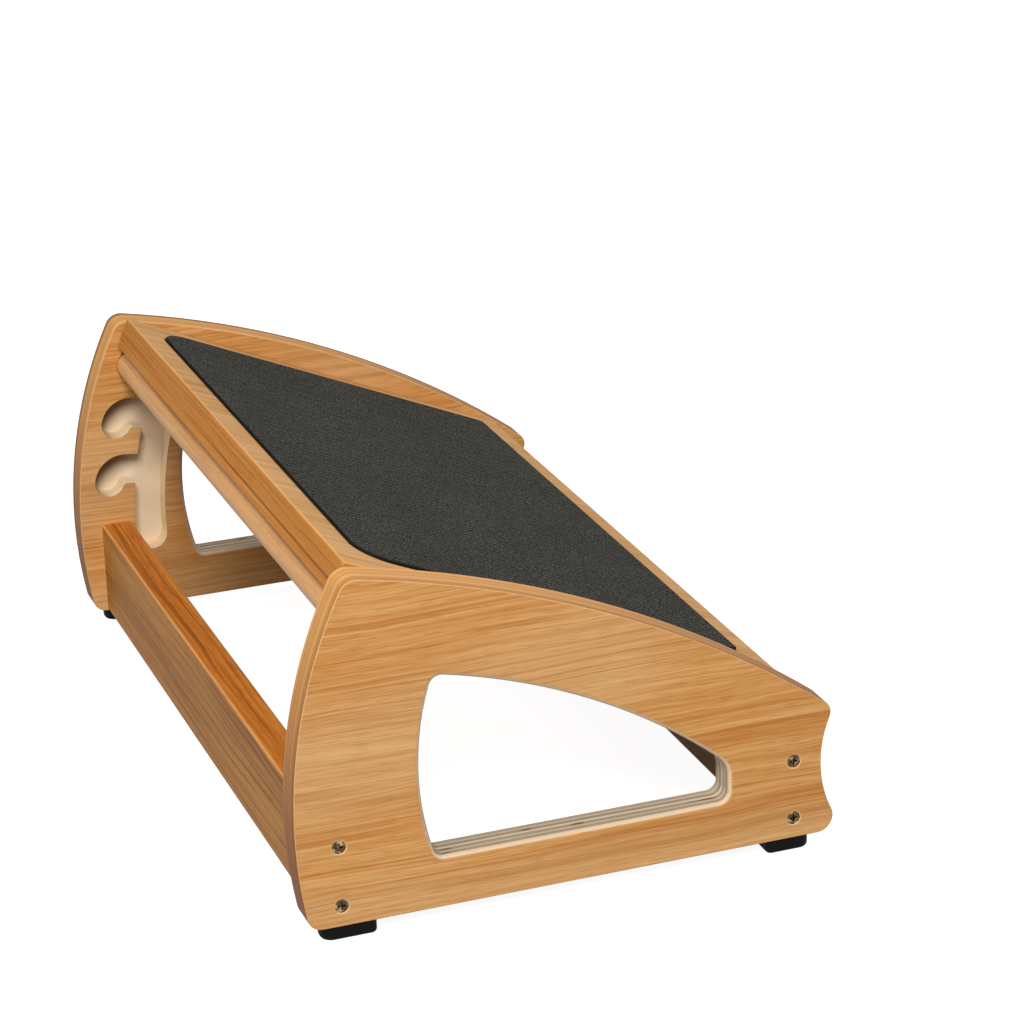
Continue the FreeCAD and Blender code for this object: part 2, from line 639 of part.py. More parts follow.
def cut_groove(body, side):
    inward = side == RIGHT
    shared = {"across": CURVE_Y, "up": CURVE_Z, "turn": "sizes.hook_angle"}
    channel_sketch = new_sketch(body, body.Label + "_channel_sketch", "YZ_Plane", **shared)
    draw_channel(channel_sketch)
    add_pocket(body, channel_sketch, body.Label + "_channel", "sizes.groove_depth", inward)
    hook_sketch = new_sketch(body, body.Label + "_hook_sketch", "YZ_Plane", **shared)
    draw_hook(hook_sketch)
    hook = add_pocket(body, hook_sketch, body.Label + "_hook", "sizes.groove_depth", inward)
    pattern = body.newObject("PartDesign::PolarPattern", body.Label + "_hooks")
    pattern.Originals = [hook]
    pattern.Axis = (hook_sketch, ["N_Axis"])
    pattern.Reversed = True
    pattern.setExpression("Angle", "sizes.hook_pitch * (sizes.hook_count - 1)")
    pattern.setExpression("Occurrences", "sizes.hook_count")
    body.Tip = pattern
    doc.recompute()
    return pattern


def cut_rail_screw_holes(body, side):
    """Four holes from the outer face, countersunk for the screw heads."""
    outer = "sizes.panel_thickness" if side == RIGHT else "-sizes.panel_thickness"
    sketch = new_sketch(body, body.Label + "_screw_sketch", "YZ_Plane", offset=outer)
    neck = "sizes.screw_neck_diameter / 2 + sizes.screw_clearance"
    for rail_y in (TOE_RAIL_Y, HEEL_RAIL_Y):
        for height in ("sizes.screw_low_height", SCREW_HIGH):
            add_circle(sketch, rail_y, height, neck)
    doc.recompute()
    before = body.Shape.Volume
    hole = body.newObject("PartDesign::Hole", body.Label + "_screw_holes")
    hole.Profile = sketch
    doc.recompute()
    hole.ThreadType = 0
    hole.DepthType = "ThroughAll"
    hole.HoleCutType = "Countersink"
    hole.HoleCutCustomValues = True
    hole.DrillPoint = "Flat"
    hole.setExpression("Diameter", "2 * (%s)" % neck)
    hole.setExpression(
        "HoleCutDiameter",
        "sizes.screw_head_diameter + 2 * (sizes.screw_clearance + sizes.screw_head_sink)",
    )
    hole.HoleCutCountersinkAngle = 90
    hole.Reversed = side == LEFT
    sketch.Visibility = False
    doc.recompute()
    if not body.Shape.Volume < before:
        raise ValueError("screw holes cut nothing")
    return hole


def foot_screw_reach(end):
    """Middle of a foot to either of its two screws."""
    return "(sizes.%s_foot_length / 2 - sizes.foot_screw_inset)" % end


def foot_screw_places():
    """Places of the foot screws along the panel: two for each foot."""
    for end, foot_y in (("toe", TOE_FOOT_Y), ("heel", HEEL_FOOT_Y)):
        for sign in ("+", "-"):
            yield "(%s %s %s)" % (foot_y, sign, foot_screw_reach(end))


FOOT_SCREW_IN_PANEL = (
    "(sizes.foot_screw_length - sizes.foot_height + sizes.foot_screw_sink"
    " + sizes.foot_screw_head_height)"
)


def make_side_panel(side):
    name = SIDE_NAMES[side] + "_side_panel"
    body = new_body(name)
    outward = side == RIGHT
    x_sign = "" if outward else "-"
    place(body, across=x_sign + INNER_HALF, up="sizes.foot_height")

    outline = new_sketch(body, name + "_outline", "YZ_Plane")
    draw_panel_outline(outline)
    pad = add_pad(body, outline, name + "_pad", "sizes.panel_thickness", reverse=not outward)

    def on_a_face(edge):
        xs = [vertex.X for vertex in edge.Vertexes]
        return max(xs) - min(xs) < TOLERANCE

    round_edges(body, pad, name + "_arris", "sizes.panel_arris", on_a_face)

    window = new_sketch(body, name + "_window_sketch", "YZ_Plane")
    draw_window(window)
    cut = add_pocket(body, window, name + "_window", "3 * sizes.panel_thickness", through=True)
    heel_y, toe_y = number(WINDOW_HEEL_Y), number(WINDOW_TOE_Y)
    top = number("sizes.window_toe_top_height")
    sill = number("sizes.window_sill_height")
    rim = number("sizes.window_rim_round")

    def on_window_rim(edge):
        middle = edge.BoundBox.Center
        inside_along = heel_y - rim < middle.y < toe_y + rim
        inside_up = sill - rim < middle.z < top + rim
        return inside_along and inside_up and on_a_face(edge)

    round_edges(body, cut, name + "_window_rim", "sizes.window_rim_round", on_window_rim)

    cut_groove(body, side)
    pivot = new_sketch(body, name + "_pivot_sketch", "YZ_Plane")
    bore = "%s + sizes.fixed_clearance" % BUSH_RADIUS
    add_circle(pivot, PIVOT_Y, "sizes.pivot_height", bore)
    depth = "sizes.pin_in_panel + sizes.pin_end_clearance"
    add_pocket(body, pivot, name + "_pivot_bore", depth, reverse=outward)

    pilots = new_sketch(body, name + "_foot_screw_sketch", "XY_Plane")
    pilot_x = "(%s - %s)" % (FOOT_X, INNER_HALF)
    for screw_y in foot_screw_places():
        add_circle(
            pilots, x_sign + pilot_x, screw_y, "sizes.foot_screw_diameter / 2 + sizes.screw_clearance"
        )
    pilot_depth = FOOT_SCREW_IN_PANEL + " + sizes.pin_end_clearance"
    add_pocket(body, pilots, name + "_foot_screw_pilots", pilot_depth, reverse=True)
    cut_rail_screw_holes(body, side)
    return body


# Rails between the panels.

def make_rail(name, rail_y):
    body = new_body(name)
    place(body, along=rail_y, up="sizes.foot_height")
    section = new_sketch(body, name + "_section", "YZ_Plane")
    half = "sizes.rail_thickness / 2"
    add_rectangle(section, "-" + half, "0", half, "sizes.rail_height")
    pad = add_pad(body, section, name + "_pad", "2 * " + INNER_HALF, middle=True)

    def runs_across(edge):
        return edge.BoundBox.XLength > number("sizes.rail_thickness")

    round_edges(body, pad, name + "_arris", "sizes.rail_arris", runs_across)
    for side in (LEFT, RIGHT):
        end = INNER_HALF if side == RIGHT else "-" + INNER_HALF
        label = "%s_%s" % (name, SIDE_NAMES[side])
        holes = new_sketch(body, label + "_hole_sketch", "YZ_Plane", offset=end)
        for height in ("sizes.screw_low_height", SCREW_HIGH):
            add_circle(holes, "0", height, "sizes.screw_core_diameter / 2 + sizes.screw_clearance")
        depth = SCREW_IN_RAIL + " + sizes.screw_hole_spare"
        add_pocket(body, holes, label + "_holes", depth, reverse=side == LEFT)
    return body


# Footboard and mat, in a frame whose origin is the pivot axis and whose y runs up the slope.

def make_footboard():
    body = new_body("footboard")
    lay_on_slope(body)
    place(body, along=PIVOT_Y, up=PIVOT_Z)
    outline = new_sketch(body, "footboard_outline", "XY_Plane")
    toe = "sizes.board_length - sizes.board_heel_margin"
    add_rectangle(outline, "-" + BOARD_HALF_WIDTH, "-sizes.board_heel_margin", BOARD_HALF_WIDTH, toe)
    pad = add_pad(body, outline, "footboard_pad", "sizes.board_thickness", middle=True)
    round_edges(body, pad, "footboard_arris", "sizes.board_arris", lambda edge: True)
    for side in (LEFT, RIGHT):
        end = BOARD_HALF_WIDTH if side == RIGHT else "-" + BOARD_HALF_WIDTH
        label = "footboard_%s_pin" % SIDE_NAMES[side]
        bore = new_sketch(body, label + "_sketch", "YZ_Plane", offset=end)
        add_circle(bore, "0", "0", PIN_BORE_RADIUS)
        depth = "sizes.pin_in_board + sizes.pin_end_clearance"
        add_pocket(body, bore, label + "_bore", depth, reverse=side == LEFT)
    return body


def make_grip_mat():
    body = new_body("grip_mat")
    lay_on_slope(body)
    place(body, along=PIVOT_Y, up=PIVOT_Z)
    lift = "sizes.board_thickness / 2 + sizes.mat_glue_film"
    outline = new_sketch(body, "grip_mat_outline", "XY_Plane", offset=lift)
    half = "(%s - sizes.mat_side_margin)" % BOARD_HALF_WIDTH
    heel = "sizes.mat_heel_margin - sizes.board_heel_margin"
    toe = "sizes.board_length - sizes.board_heel_margin - sizes.mat_toe_margin"
    rounds = ("sizes.mat_heel_corner_round", "sizes.mat_toe_corner_round")
    add_rectangle(outline, "-" + half, heel, half, toe, *rounds)
    pad = add_pad(body, outline, "grip_mat_pad", "sizes.mat_thickness")
    upper = number("%s + sizes.mat_thickness" % lift)

    def on_top(edge):
        return edge.BoundBox.ZMin > upper - TOLERANCE

    round_edges(body, pad, "grip_mat_arris", "sizes.mat_arris", on_top)
    return body


# Round pieces that lie along X.

def make_bar(name, radius, length, chamfer, along, up):
    """A plain round bar with chamfered ends, centred across the footrest."""
    body = new_body(name)
    place(body, along=along, up=up)
    section = new_sketch(body, name + "_section", "YZ_Plane")
    add_circle(section, "0", "0", radius)
    pad = add_pad(body, section, name + "_pad", length, middle=True)
    rims = ["Edge%d" % (i + 1) for i, edge in enumerate(pad.Shape.Edges) if edge.isClosed()]
    bevel = body.newObject("PartDesign::Chamfer", name + "_ends")
    bevel.Base = (pad, rims)
    bevel.setExpression("Size", chamfer)
    doc.recompute()
    return body


def make_support_rod():
    length = "2 * (%s + sizes.groove_depth - sizes.rod_end_clearance)" % INNER_HALF
    return make_bar(
        "support_rod", "sizes.rod_diameter / 2", length, "sizes.rod_end_chamfer", ROD_Y, ROD_Z
    )


def make_pivot_pin(side):
    """A steel pin, half in the board's end and half in the panel's bush."""
    name = SIDE_NAMES[side] + "_pivot_pin"
    length = "sizes.pin_in_board + sizes.board_side_gap + sizes.pin_in_panel"
    pin = make_bar(name, "sizes.pin_diameter / 2", length, "sizes.pin_chamfer", PIVOT_Y, PIVOT_Z)
    middle = "(%s + (sizes.board_side_gap + sizes.pin_in_panel - sizes.pin_in_board) / 2)"
    x_sign = "" if side == RIGHT else "-"
    pin.setExpression("Placement.Base.x", x_sign + middle % BOARD_HALF_WIDTH)
    return pin


def turned(name, profile_points):
    """A solid of revolution about X, from points (distance along X, radius) as formulas."""
    body = new_body(name)
    sketch = new_sketch(body, name + "_profile", "XZ_Plane")
    places = [(number(x), number(r)) for x, r in profile_points]
    count = len(places)
    lines = []
    for i, here in enumerate(places):
        there = places[(i + 1) % count]
        segment = Part.LineSegment(FreeCAD.Vector(*here, 0), FreeCAD.Vector(*there, 0))
        lines.append(sketch.addGeometry(segment, False))
    for i, line in enumerate(lines):
        sketch.addConstraint(Sketcher.Constraint("Coincident", line, END, lines[(i + 1) % count], START))
        place_point(sketch, (line, START), *profile_points[i])
    turn = body.newObject("PartDesign::Revolution", name + "_turning")
    turn.Profile = sketch
    turn.ReferenceAxis = (sketch, ["H_Axis"])
    turn.Angle = 360
    sketch.Visibility = False
    doc.recompute()
    return body


def make_pivot_bush(side):
    """A flanged sleeve pressed into the panel; x runs from its flange face towards the panel."""
    name = SIDE_NAMES[side] + "_pivot_bush"
    bore = "sizes.pin_diameter / 2 + sizes.running_clearance"
    flange = "sizes.bush_flange_thickness"
    end = "%s + sizes.pin_in_panel" % flange
    profile = [
        ("0", bore),
        (end, bore),
        (end, BUSH_RADIUS),
        (flange, BUSH_RADIUS),
        (flange, "sizes.bush_flange_diameter / 2"),
        ("0", "sizes.bush_flange_diameter / 2"),
    ]
    body = turned(name, profile)
    if side == LEFT:
        turn_item(body, "z", 180)
    x_sign = "" if side == RIGHT else "-"
    place(body, x_sign + "(%s - %s)" % (INNER_HALF, flange), PIVOT_Y, PIVOT_Z)
    return body


# Screws. A rail screw is drawn with its head's face at x = 0 and its shank along +X.

HEAD_CONE = "((sizes.screw_head_diameter - sizes.screw_neck_diameter) / 2)"
NECK_END = "(sizes.panel_thickness - sizes.screw_head_sink)"


def make_rail_screw(name):
    head, neck = "sizes.screw_head_diameter / 2", "sizes.screw_neck_diameter / 2"
    core, shank_end = "sizes.screw_core_diameter / 2", "sizes.screw_length - sizes.screw_tip_length"
    profile = [
        ("0", "0"),
        ("0", head),
        (HEAD_CONE, neck),
        (NECK_END, neck),
        (NECK_END, core),
        (shank_end, core),
        ("sizes.screw_length", "0"),
    ]
    body = turned(name, profile)
    recess = new_sketch(body, name + "_recess_sketch", "YZ_Plane")
    arm, tip = "sizes.screw_recess_width / 2", "sizes.screw_recess_span / 2"
    ring = [
        (tip, arm), (arm, arm), (arm, tip), ("-" + arm, tip), ("-" + arm, arm), ("-" + tip, arm),
        ("-" + tip, "-" + arm), ("-" + arm, "-" + arm), ("-" + arm, "-" + tip), (arm, "-" + tip),
        (arm, "-" + arm), (tip, "-" + arm),
    ]
    draw_polygon(recess, ring)
    add_pocket(body, recess, name + "_recess", "sizes.screw_recess_depth", reverse=True)
    return body


def draw_polygon(sketch, ring):
    """A closed polygon with each corner tied to formulas."""
    points = [FreeCAD.Vector(number(x), number(y), 0) for x, y in ring]
    lines = [
        sketch.addGeometry(Part.LineSegment(point, points[(i + 1) % len(points)]), False)
        for i, point in enumerate(points)
    ]
    for i, line in enumerate(lines):
        following = lines[(i + 1) % len(lines)]
        sketch.addConstraint(Sketcher.Constraint("Coincident", line, END, following, START))
        place_point(sketch, (line, START), *ring[i])


def group(name, items):
    """Identical fasteners as one node: separate solids in one compound."""
    compound = doc.addObject("Part::Compound", name)
    compound.Label = name
    compound.Links = items
    doc.recompute()
    return compound


def make_rail_screws(side, rail, rail_y):
    name = "%s_%s_rail_screws" % (SIDE_NAMES[side], rail)
    face = "(sizes.overall_width / 2 - sizes.screw_head_sink)"
    screws = []
    for level, height in (("low", "sizes.screw_low_height"), ("high", SCREW_HIGH)):
        screw = make_rail_screw("%s_%s" % (name, level))
        if side == RIGHT:
            turn_item(screw, "z", 180)
        x_sign = "" if side == RIGHT else "-"
        place(screw, x_sign + face, rail_y, "sizes.foot_height + %s" % height)
        screws.append(screw)
    return group(name, screws)


# Rubber feet, each held by two small screws sunk in its underside.

def make_foot(side, end, foot_y):
    name = "%s_%s_foot" % (SIDE_NAMES[side], end)
    body = new_body(name)
    place(body, ("" if side == RIGHT else "-") + FOOT_X, foot_y)
    outline = new_sketch(body, name + "_outline", "XY_Plane")
    half_width, half_length = "sizes.foot_width / 2", "sizes.%s_foot_length / 2" % end
    rounds = ["sizes.foot_inner_round", "sizes.foot_outer_round"]
    if end == "heel":
        rounds.reverse()
    add_rectangle(outline, "-" + half_width, "-" + half_length, half_width, half_length, *rounds)
    pad = add_pad(body, outline, name + "_pad", "sizes.foot_height")

    def underneath(edge):
        return edge.BoundBox.ZMax < TOLERANCE

    round_edges(body, pad, name + "_lower_edge", "sizes.foot_edge_round", underneath)
    clearance = "sizes.foot_hole_clearance"
    head_depth = "sizes.foot_screw_sink + sizes.foot_screw_head_height"
    for label, radius, depth in (
        ("head", "sizes.foot_screw_head_diameter / 2", head_depth),
        ("shank", "sizes.foot_screw_diameter / 2", "sizes.foot_height"),
    ):
        holes = new_sketch(body, "%s_%s_sketch" % (name, label), "XY_Plane")
        for sign in ("", "-"):
            add_circle(holes, "0", sign + foot_screw_reach(end), "%s + %s" % (radius, clearance))
        add_pocket(body, holes, "%s_%s_holes" % (name, label), depth, reverse=True)
    return body


def make_foot_screws(side):
    """Four small screws with domed heads, two through each foot of a panel."""
    name = SIDE_NAMES[side] + "_foot_screws"
    head_radius = "sizes.foot_screw_head_diameter / 2"
    shank_radius = "sizes.foot_screw_diameter / 2"
    head = "sizes.foot_screw_head_height"
    screws = []
    for i, screw_y in enumerate(foot_screw_places(), start=1):
        profile = [
            ("0", "0"),
            ("0", "sizes.foot_screw_crown_diameter / 2"),
            (head + " - sizes.foot_screw_rim_height", head_radius),
            (head, head_radius),
            (head, shank_radius),
            ("%s + sizes.foot_screw_length - sizes.foot_screw_tip_length" % head, shank_radius),
            ("%s + sizes.foot_screw_length" % head, "0"),
        ]
        screw = turned("%s_%d" % (name, i), profile)
        turn_item(screw, "y", -90)
        place(screw, ("" if side == RIGHT else "-") + FOOT_X, screw_y, "sizes.foot_screw_sink")
        screws.append(screw)
    return group(name, screws)


pieces = [
    make_rail("toe_rail", TOE_RAIL_Y),
    make_rail("heel_rail", HEEL_RAIL_Y),
    make_footboard(),
    make_grip_mat(),
    make_support_rod(),
]
for side in (LEFT, RIGHT):
    pieces.append(make_side_panel(side))
    pieces.append(make_pivot_pin(side))
    pieces.append(make_pivot_bush(side))
    pieces.append(make_rail_screws(side, "toe", TOE_RAIL_Y))
    pieces.append(make_rail_screws(side, "heel", HEEL_RAIL_Y))
    pieces.append(make_foot(side, "toe", TOE_FOOT_Y))
    pieces.append(make_foot(side, "heel", HEEL_FOOT_Y))
    pieces.append(make_foot_screws(side))

doc.recompute()
for item in doc.Objects:
    if "Invalid" in item.State or "Error" in item.State:
        raise ValueError("%s did not compute: %s" % (item.Name, item.State))
for piece in pieces:
    if piece.Shape.isNull() or not piece.Shape.isValid():
        raise ValueError(piece.Label + " has no valid shape")

os.makedirs("parts", exist_ok=True)
for piece in pieces:
    piece.Shape.exportStep("parts/%s.step" % piece.Label)
    print("%s: %d solid(s), %.1f cm3" % (piece.Label, len(piece.Shape.Solids), piece.Shape.Volume / 1000))
print("slope of the board: %.3f degrees" % number(BOARD_SLOPE))
print("pivot of the board: y %.3f, z %.3f" % (number(PIVOT_Y), number(PIVOT_Z)))
print("rod: y %.3f, z %.3f" % (number(ROD_Y), number(ROD_Z)))
roll_offset = number(SEAT_RADIUS) - number(ROOF_HEIGHT)
hook_turn = math.radians(number("sizes.hook_angle"))
print(
    "centre of the hook's roof: y %.3f, z %.3f"
    % (
        number(ROD_Y) + roll_offset * math.cos(hook_turn),
        number(ROD_Z) + roll_offset * math.sin(hook_turn),
    )
)
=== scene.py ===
import math

import bpy
from mathutils import Matrix, Vector


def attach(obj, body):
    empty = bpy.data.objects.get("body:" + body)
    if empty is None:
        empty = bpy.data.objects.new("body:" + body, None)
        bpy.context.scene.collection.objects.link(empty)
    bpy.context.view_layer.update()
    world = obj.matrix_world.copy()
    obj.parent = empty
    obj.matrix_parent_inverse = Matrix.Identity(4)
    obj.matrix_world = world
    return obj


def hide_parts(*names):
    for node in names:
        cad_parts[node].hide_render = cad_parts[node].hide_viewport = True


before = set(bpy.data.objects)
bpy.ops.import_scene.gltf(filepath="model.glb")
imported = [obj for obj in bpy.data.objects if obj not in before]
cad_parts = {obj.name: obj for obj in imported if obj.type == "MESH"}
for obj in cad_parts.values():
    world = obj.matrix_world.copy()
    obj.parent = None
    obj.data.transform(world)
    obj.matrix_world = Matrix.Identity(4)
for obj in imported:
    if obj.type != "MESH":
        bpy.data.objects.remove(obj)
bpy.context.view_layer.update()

# The looks of a wooden under-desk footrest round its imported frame, in metres.
# +X from left to right, +Y from the heel end to the toe end, +Z up.

ORIGIN = (0.0, 0.0, 0.0)
SIDES = ("left", "right")
ENDS = ("toe", "heel")


# Camera of the photo's view. The aim's right, up and ahead place it in the camera's axes.

IMAGE_SIDE = 1024
FOCAL_PIXELS = 3248.391
SENSOR = 36.0
AZIMUTH, ELEVATION, ROLL = (math.radians(angle) for angle in (250.139, 21.012, -1.604))
AIM = Vector((0, -0.03045, 0.108))
AIM_RIGHT, AIM_UP, AIM_AHEAD = -0.022236, -0.009676, 1.767389


def make_camera():
    back = Vector((
        math.sin(AZIMUTH) * math.cos(ELEVATION),
        -math.cos(AZIMUTH) * math.cos(ELEVATION),
        math.sin(ELEVATION),
    ))
    level_right = (-back).cross(Vector((0, 0, 1))).normalized()
    level_up = level_right.cross(-back)
    right = level_right * math.cos(ROLL) + level_up * math.sin(ROLL)
    up = level_up * math.cos(ROLL) - level_right * math.sin(ROLL)
    data = bpy.data.cameras.new("camera")
    data.sensor_width = SENSOR
    data.lens = FOCAL_PIXELS / IMAGE_SIDE * SENSOR
    data.clip_start, data.clip_end = 0.05, 60
    camera = bpy.data.objects.new("camera", data)
    place = AIM - right * AIM_RIGHT - up * AIM_UP + back * AIM_AHEAD
    turn = Matrix((right, up, back)).transposed().to_4x4()
    camera.matrix_world = Matrix.Translation(place) @ turn
    bpy.context.scene.collection.objects.link(camera)
    bpy.context.scene.camera = camera


# Shader nodes.

def tint(red, green, blue):
    """A colour as it looks on a screen, 0 to 255, as linear light."""
    linear = []
    for level in (red, green, blue):
        share = level / 255
        linear.append(share / 12.92 if share <= 0.04045 else ((share + 0.055) / 1.055) ** 2.4)
    return (*linear, 1.0)


class Nodes:
    """The node tree of a material or a world, and short calls that grow it."""

    def __init__(self, owner):
        owner.use_nodes = True
        self.owner = owner
        self.tree = owner.node_tree
        self.tree.nodes.clear()

    def add(self, kind, feeds=(), **settings):
        node = self.tree.nodes.new(kind)
        for name, value in settings.items():
            setattr(node, name, value)
        for socket, value in dict(feeds).items():
            self.feed(node.inputs[socket], value)
        return node

    def feed(self, socket, value):
        if isinstance(value, bpy.types.NodeSocket):
            self.tree.links.new(value, socket)
        else:
            socket.default_value = value

    def math(self, operation, *values, clamp=False):
        node = self.add("ShaderNodeMath", enumerate(values), operation=operation, use_clamp=clamp)
        return node.outputs[0]

    def weighted(self, *terms):
        """Sum of values, each times its weight."""
        total = None
        for value, weight in terms:
            term = self.math("MULTIPLY", value, weight)
            total = term if total is None else self.math("ADD", total, term)
        return total

    def both(self, *masks):
        """Product of masks."""
        product = masks[0]
        for mask in masks[1:]:
            product = self.math("MULTIPLY", product, mask)
        return product

    def between(self, value, low, high, start=0.0, end=1.0):
        """Smooth step of a value from low to high, as start to end."""
        feeds = {"Value": value, "From Min": low, "From Max": high, "To Min": start, "To Max": end}
        return self.add("ShaderNodeMapRange", feeds, interpolation_type="SMOOTHSTEP").outputs[0]

    def inside(self, value, low, high, soft):
        """1 where a value lies between low and high."""
        return self.both(
            self.between(value, low - soft, low + soft),
            self.between(value, high - soft, high + soft, 1.0, 0.0),
        )

    def vector(self, operation, first, second):
        node = self.add("ShaderNodeVectorMath", {0: first, 1: second}, operation=operation)
        return node.outputs["Value" if operation in ("DISTANCE", "DOT_PRODUCT") else "Vector"]

    def split(self, vector):
        return self.add("ShaderNodeSeparateXYZ", {0: vector}).outputs[:]

    def join(self, x, y, z):
        return self.add("ShaderNodeCombineXYZ", {0: x, 1: y, 2: z}).outputs[0]

    def noise(self, vector, scale, shift, detail=2.0, rough=0.5):
        """Noise from 0 to 1; scale counts features per metre on each axis, shift moves them."""
        stretched = self.vector("MULTIPLY", vector, scale)
        moved = self.vector("ADD", stretched, (shift, shift * 0.7, shift * 1.3))
        feeds = {"Vector": moved, "Scale": 1.0, "Detail": detail, "Roughness": rough}
        return self.add("ShaderNodeTexNoise", feeds).outputs[0]

    def ramp(self, value, stops):
        node = self.add("ShaderNodeValToRGB", {"Fac": value})
        items = node.color_ramp.elements
        while len(items) < len(stops):
            items.new(0.5)
        for item, (place, colour) in zip(items, stops):
            item.position = place
            item.color = colour
        return node.outputs["Color"]

    def mix(self, share, first, second):
        """Mix of two colours; share is the second one's."""
        feeds = {0: share, 6: first, 7: second}
        return self.add("ShaderNodeMix", feeds, data_type="RGBA").outputs[2]


class Surface(Nodes):
    """A new material's nodes, with the place and the normal of a point at rest."""

    def __init__(self, name):
        super().__init__(bpy.data.materials.new(name))
        place = self.add("ShaderNodeTexCoord")
        self.position = place.outputs["Object"]
        self.normal = place.outputs["Normal"]

    def finish(self, colour, height, depth, **settings):
        """Close the tree with a shader; height times depth is its relief in metres.

        settings name the shader's plain sockets, such as Roughness.
        """
        shader = self.add("ShaderNodeBsdfPrincipled", {"Base Color": colour})
        for name, value in settings.items():
            self.feed(shader.inputs[name.replace("_", " ")], value)
        feeds = {"Height": height, "Distance": depth, "Strength": 1.0}
        self.feed(shader.inputs["Normal"], self.add("ShaderNodeBump", feeds).outputs[0])
        self.add("ShaderNodeOutputMaterial", {"Surface": shader.outputs[0]})
        return self.owner


# Wood. A veneer's vector has x along the grain, y across it and z into the wood; each noise
# has its features per metre along and across the grain.

SWAY, SWAY_WIDTH = (6, 16, 0), 0.010
BROAD, STREAK, FIBRE = (2.5, 36, 0), (5, 250, 0), (16, 760, 0)
VEIN, VEIN_BAND, VEIN_DEPTH = (4, 420, 0), (3.5, 26, 0), 0.62
PORE, PORE_DEPTH = (80, 1500, 0), 0.36
WOOD_BUMP = 0.00006
SATIN = {
    "Roughness": 0.55, "Specular_IOR_Level": 0.06, "Coat_Weight": 0.01, "Coat_Roughness": 0.35,
}

PANEL_TONES = (
    (0.34, tint(177, 111, 52)),
    (0.45, tint(198, 138, 75)),
    (0.54, tint(209, 153, 91)),
    (0.66, tint(221, 172, 113)),
)
PANEL_VEIN = tint(178, 108, 46)
# The second colour is painted shade for the inner faces under the board.
PALE_VENEER, UNDER_BOARD_SHADE = tint(214, 184, 140), tint(150, 84, 42)
# Rims: paler sanded wood with a painted highlight.
PALE_RIM_AND_HIGHLIGHT = tint(228, 178, 122)


def veneer(nodes, grain, shift, tones, dark, contrast=1.0, lift=None):
    """Colour and height of an oak-like veneer with long streaks along the grain.

    shift picks the piece of veneer; lift is added to the place on the ramp of tones.
    """
    sway = nodes.noise(grain, SWAY, shift + 3.1)
    swing = nodes.math("MULTIPLY", nodes.math("SUBTRACT", sway, 0.5), SWAY_WIDTH)
    bent = nodes.vector("ADD", grain, nodes.join(0.0, swing, 0.0))
    broad = nodes.noise(bent, BROAD, shift)
    streak = nodes.noise(bent, STREAK, shift + 11.0, detail=3.0, rough=0.62)
    fibre = nodes.noise(bent, FIBRE, shift + 23.0)
    tone = nodes.weighted((broad, 0.26), (streak, 0.34), (fibre, 0.40))
    if lift is not None:
        tone = nodes.math("ADD", tone, lift)
    colour = nodes.ramp(tone, tones)

    # Thin dark veins run on for a hand's length and gather in bands.
    vein = nodes.noise(bent, VEIN, shift + 51.0, detail=1.0, rough=0.4)
    band = nodes.noise(bent, VEIN_BAND, shift + 67.0, detail=1.0)
    veins = nodes.both(nodes.between(vein, 0.56, 0.65), nodes.between(band, 0.42, 0.56))
    colour = nodes.mix(nodes.math("MULTIPLY", veins, VEIN_DEPTH * contrast), colour, dark)
    pores = nodes.between(nodes.noise(bent, PORE, shift + 37.0, detail=0.0), 0.60, 0.72)
    colour = nodes.mix(nodes.math("MULTIPLY", pores, PORE_DEPTH * contrast), colour, dark)
    return colour, nodes.math("SUBTRACT", nodes.math("MULTIPLY", fibre, 0.4), pores)


# Plywood edges: features per metre along the edge, per ply across it and from ply to ply.

PLY_WOBBLE, PLY_WOBBLE_DEPTH = (11, 1.5, 0), 0.9
PLY_FIBRE, PLY_SPECK, PLY_HOLLOW = (12, 5, 7), (900, 6, 7), (42, 3.7, 0)

# Their tones: the light plies, the deep ones and the glue between them.

STAINED_PLY = (tint(226, 170, 104), tint(204, 142, 78), tint(142, 84, 36))
RAW_PLY = (tint(218, 201, 175), tint(152, 131, 104), tint(104, 83, 62))
RAW_VOID = tint(104, 62, 42)
GROOVE_PLY = (tint(240, 218, 182), tint(230, 205, 167), tint(216, 188, 150))
RAIL_PLY = (tint(200, 122, 50), tint(176, 98, 34), tint(128, 68, 22))
BOARD_PLY = (tint(200, 132, 58), tint(178, 108, 40), tint(118, 62, 20))


